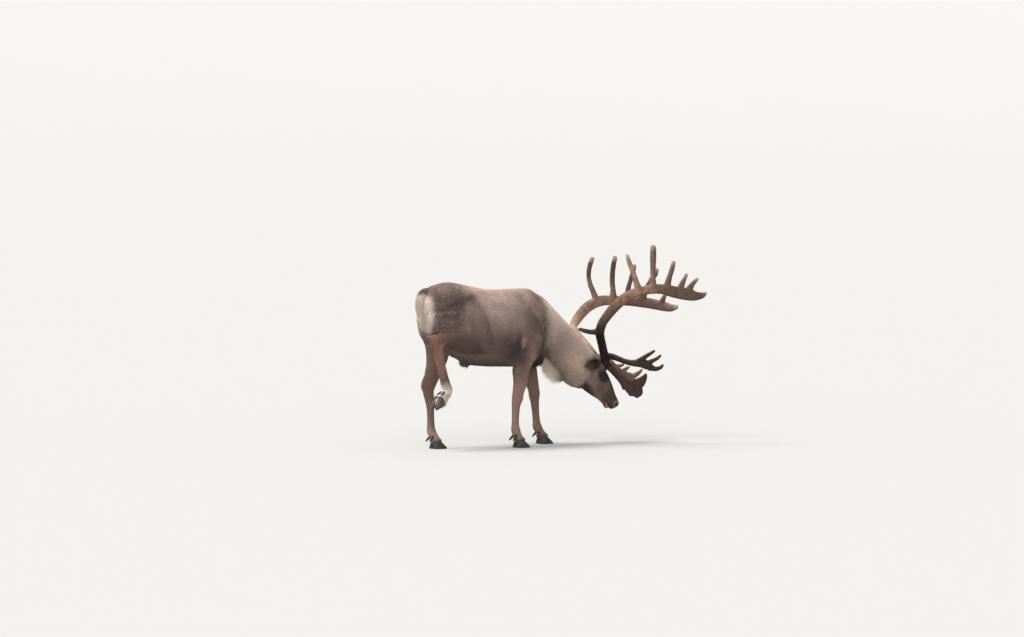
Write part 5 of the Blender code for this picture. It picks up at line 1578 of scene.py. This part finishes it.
def coatFinish(name, look):
    rough, gloss, sheen, sheenSpread = look["surface"]
    finish = Finish(name, {
        "Roughness": rough, "Specular IOR Level": gloss,
        "Sheen Weight": sheen, "Sheen Roughness": sheenSpread, "Sheen Tint": (*look["sheenTint"], 1.0),
    })
    coat = finish.add("VertexColor", {"layer_name": "coat"}, {})
    (cloudScale, clouds), (strandScale, strands) = look["clouds"], look["strands"]
    cloud, strand = finish.noise(cloudScale, 4.0), finish.noise(strandScale, 2.0)
    gain = 1.0 + (cloud - 0.5) * clouds + (strand - 0.5) * strands
    finish.give(Base_Color=finish.tinted(coat, gain))
    if look["relief"]:
        reliefScale, depth = look["relief"]
        finish.give(Normal=finish.bump(finish.noise(reliefScale, 3.0), 1.0, depth))
    finish.give(Roughness=rough + (strand - 0.5) * 0.15)
    return finish.material


# surface: roughness, gloss, sheen and the sheen's roughness; noises as scale and strength
coatLooks = {
    "skin": {
        "surface": (0.78, 0.22, 0.05, 0.5), "sheenTint": (0.9, 0.85, 0.8),
        "clouds": (9.0, 0.25), "strands": (240.0, 0.30), "relief": (320.0, 0.0012),
    },
    "coat": {
        "surface": (0.66, 0.28, 0.10, 0.5), "sheenTint": (0.9, 0.86, 0.8),
        "clouds": (9.0, 0.22), "strands": (160.0, 0.20), "relief": None,
    },
    "velvet": {
        "surface": (0.86, 0.08, 0.55, 0.2), "sheenTint": (0.95, 0.84, 0.74),
        "clouds": (14.0, 0.35), "strands": (200.0, 0.28), "relief": (420.0, 0.0007),
    },
    "fuzz": {
        "surface": (0.80, 0.10, 0.25, 0.3), "sheenTint": (0.95, 0.88, 0.78),
        "clouds": (14.0, 0.25), "strands": (120.0, 0.20), "relief": None,
    },
}
coatMaterials = {name: coatFinish(f"reindeer {name}", look) for name, look in coatLooks.items()}


def eyeFinish():
    finish = Finish("wet eye", {
        "Roughness": 0.12, "Specular IOR Level": 0.18,
        "Coat Weight": 0.30, "Coat Roughness": 0.02, "Coat IOR": 1.38,
    })
    ball = finish.add("VertexColor", {"layer_name": "coat"}, {})
    fibre = finish.noise(420.0, 3.0)
    finish.give(Base_Color=finish.tinted(ball, 0.75 + fibre * 0.5))
    return finish.material


hoofLooks = {
    "standing": {"dark": tone(38, 33, 31), "worn": tone(92, 82, 74), "roughness": 0.42, "wear": 0.45},
    "lifted": {"dark": tone(62, 54, 52), "worn": tone(116, 107, 102), "roughness": 0.58, "wear": 0.60},
}


def hoofFinish(name):
    look = hoofLooks[name]
    finish = Finish(f"hoof horn {name}", {"Roughness": look["roughness"], "Specular IOR Level": 0.40})
    cloud = finish.noise(38.0, 4.0)
    grain = finish.noise(60.0, 3.0, (1.0, 1.0, 9.0))
    wear = finish.add("ValToRGB", {"stops": ((0.42, (0, 0, 0)), (0.78, (1, 1, 1)))}, {"Fac": cloud})
    base = finish.mixed(wear * look["wear"], (*look["dark"], 1.0), (*look["worn"], 1.0))
    finish.give(Base_Color=finish.tinted(base, 0.75 + grain * 0.5))
    finish.give(Roughness=look["roughness"] - 0.08 + cloud * 0.25)
    finish.give(Normal=finish.bump(grain, 0.7, 0.0009))
    return finish.material


def dressed(piece, material):
    piece.data.materials.clear()
    piece.data.materials.append(material)
    return piece


legNodes = [f"{leg}_{part}" for leg in legShapes for part in ("upper", "cannon", "foot")]
colourMesh(skin, colours)
dressed(skin, coatMaterials["skin"])
bodyPiece(skin, "coat_dark", "torso", "neck", "head", "tail", "ear_left", "ear_right", *legNodes)
coatSlots = {"neck": "coat_grey", "head": "coat_face", "ears": "coat_face", "tail": "rump_white"}
for piece in coatPieces:
    dressed(piece, coatMaterials["coat"])
    part = piece.name.split("_")[1]
    bodyPiece(piece, "coat_leg" if "leg" in part else coatSlots.get(part, "coat_dark"))
bodyPiece(dressed(mane, coatMaterials["coat"]), "coat_grey")
bodyPiece(dressed(tailHair, coatMaterials["coat"]), "rump_white")
for name, (antler, fuzz) in antlers.items():
    parts = [f"antler_{name}_{part}" for part in ("burr", "brow", "bez", "rear_tine", "beam", "palm")]
    bodyPiece(dressed(antler, coatMaterials["velvet"]), "velvet", *parts)
    bodyPiece(dressed(fuzz, coatMaterials["fuzz"]), "velvet")
eyeMaterial = eyeFinish()
for name, ball in eyes.items():
    bodyPiece(dressed(ball, eyeMaterial), "eye", f"eye_{name}")
hornMaterials = {name: hoofFinish(name) for name in hoofLooks}
for leg, hoof in hooves.items():
    stance = "lifted" if hoofShape["feet"][leg][1] else "standing"
    names = [f"{leg}_{part}_{side}" for part in ("claw", "dewclaw") for side in ("left", "right")]
    bodyPiece(dressed(hoof, hornMaterials[stance]), "hoof", *names)
print("dressed every piece")


# The plain floor, the soft light and the camera

stageLook = {
    "floor": tone(199, 197, 193),
    "floorReach": 200.0,
    "floorFlat": 70.0,  # beyond this the floor curves up, so no horizon line shows
    "floorRise": 0.0012,
    "world": (0.88, 0.92, 0.97),
    "worldStrength": 0.74,
    "lights": (  # name, the way that its light comes from, strength, how soft in degrees, colour
        ("sky_panel", (-0.80, 0.25, 1.50), 2.60, 26, (1.0, 0.97, 0.93)),
        ("front_fill", (-0.75, -1.0, 0.60), 1.15, 45, (0.98, 0.98, 1.0)),
        ("side_fill", (-1.0, -0.12, 0.35), 0.60, 45, (1.0, 0.99, 0.97)),
    ),
    "lookAt": (0.2838, 0.0, 0.986),
    "azimuth": -30.0,
    "elevation": 3.0,
    "distance": 40.0,
    "widthThere": 7.877,
}


def stageFloor():
    finish = Finish("pale floor", {"Roughness": 0.92, "Specular IOR Level": 0.15})
    grain = finish.noise(70.0, 2.0)
    gain = 1.0 + (grain - 0.5) * 0.05
    base = finish.add("RGB", {}, {})
    base.socket.default_value = (*stageLook["floor"], 1.0)
    finish.give(Base_Color=finish.tinted(base, gain))
    shape = bmesh.new()
    bmesh.ops.create_grid(shape, x_segments=80, y_segments=80, size=stageLook["floorReach"])
    for point in shape.verts:
        beyond = max(0.0, math.hypot(point.co.x, point.co.y) - stageLook["floorFlat"])
        point.co.z += stageLook["floorRise"] * beyond**2
    floor = keepMesh("floor", shape)
    dressed(floor, finish.material)


def aimed(thing, place, aim):
    place, aim = Vector(place) + bodyShift, Vector(aim) + bodyShift
    thing.location = place
    thing.rotation_euler = (aim - place).to_track_quat("-Z", "Y").to_euler()


def stageLights():
    for name, source, strength, softness, colour in stageLook["lights"]:
        lamp = bpy.data.lights.new(name, "SUN")
        lamp.energy = strength
        lamp.angle = math.radians(softness)
        lamp.color = colour
        thing = bpy.data.objects.new(name, lamp)
        bpy.context.scene.collection.objects.link(thing)
        aimed(thing, Vector(source) * 6, (0, 0, 0))
    world = bpy.data.worlds.new("studio")
    world.use_nodes = True
    background = world.node_tree.nodes["Background"]
    background.inputs["Color"].default_value = (*stageLook["world"], 1.0)
    background.inputs["Strength"].default_value = stageLook["worldStrength"]
    bpy.context.scene.world = world


def stageCamera():
    look = stageLook
    azimuth, elevation = math.radians(look["azimuth"]), math.radians(look["elevation"])
    level = Vector((math.sin(azimuth), -math.cos(azimuth), 0))
    back = level * math.cos(elevation) + upWay * math.sin(elevation)
    lens = bpy.data.cameras.new("camera")
    lens.sensor_width = 36.0
    lens.lens = 36.0 * look["distance"] / look["widthThere"]
    lens.clip_end = 9000.0
    camera = bpy.data.objects.new("camera", lens)
    bpy.context.scene.collection.objects.link(camera)
    target = Vector(look["lookAt"])
    aimed(camera, target + back * look["distance"], target)
    bpy.context.scene.camera = camera


stageFloor()
stageLights()
stageCamera()
bpy.context.scene.view_settings.view_transform = "Standard"
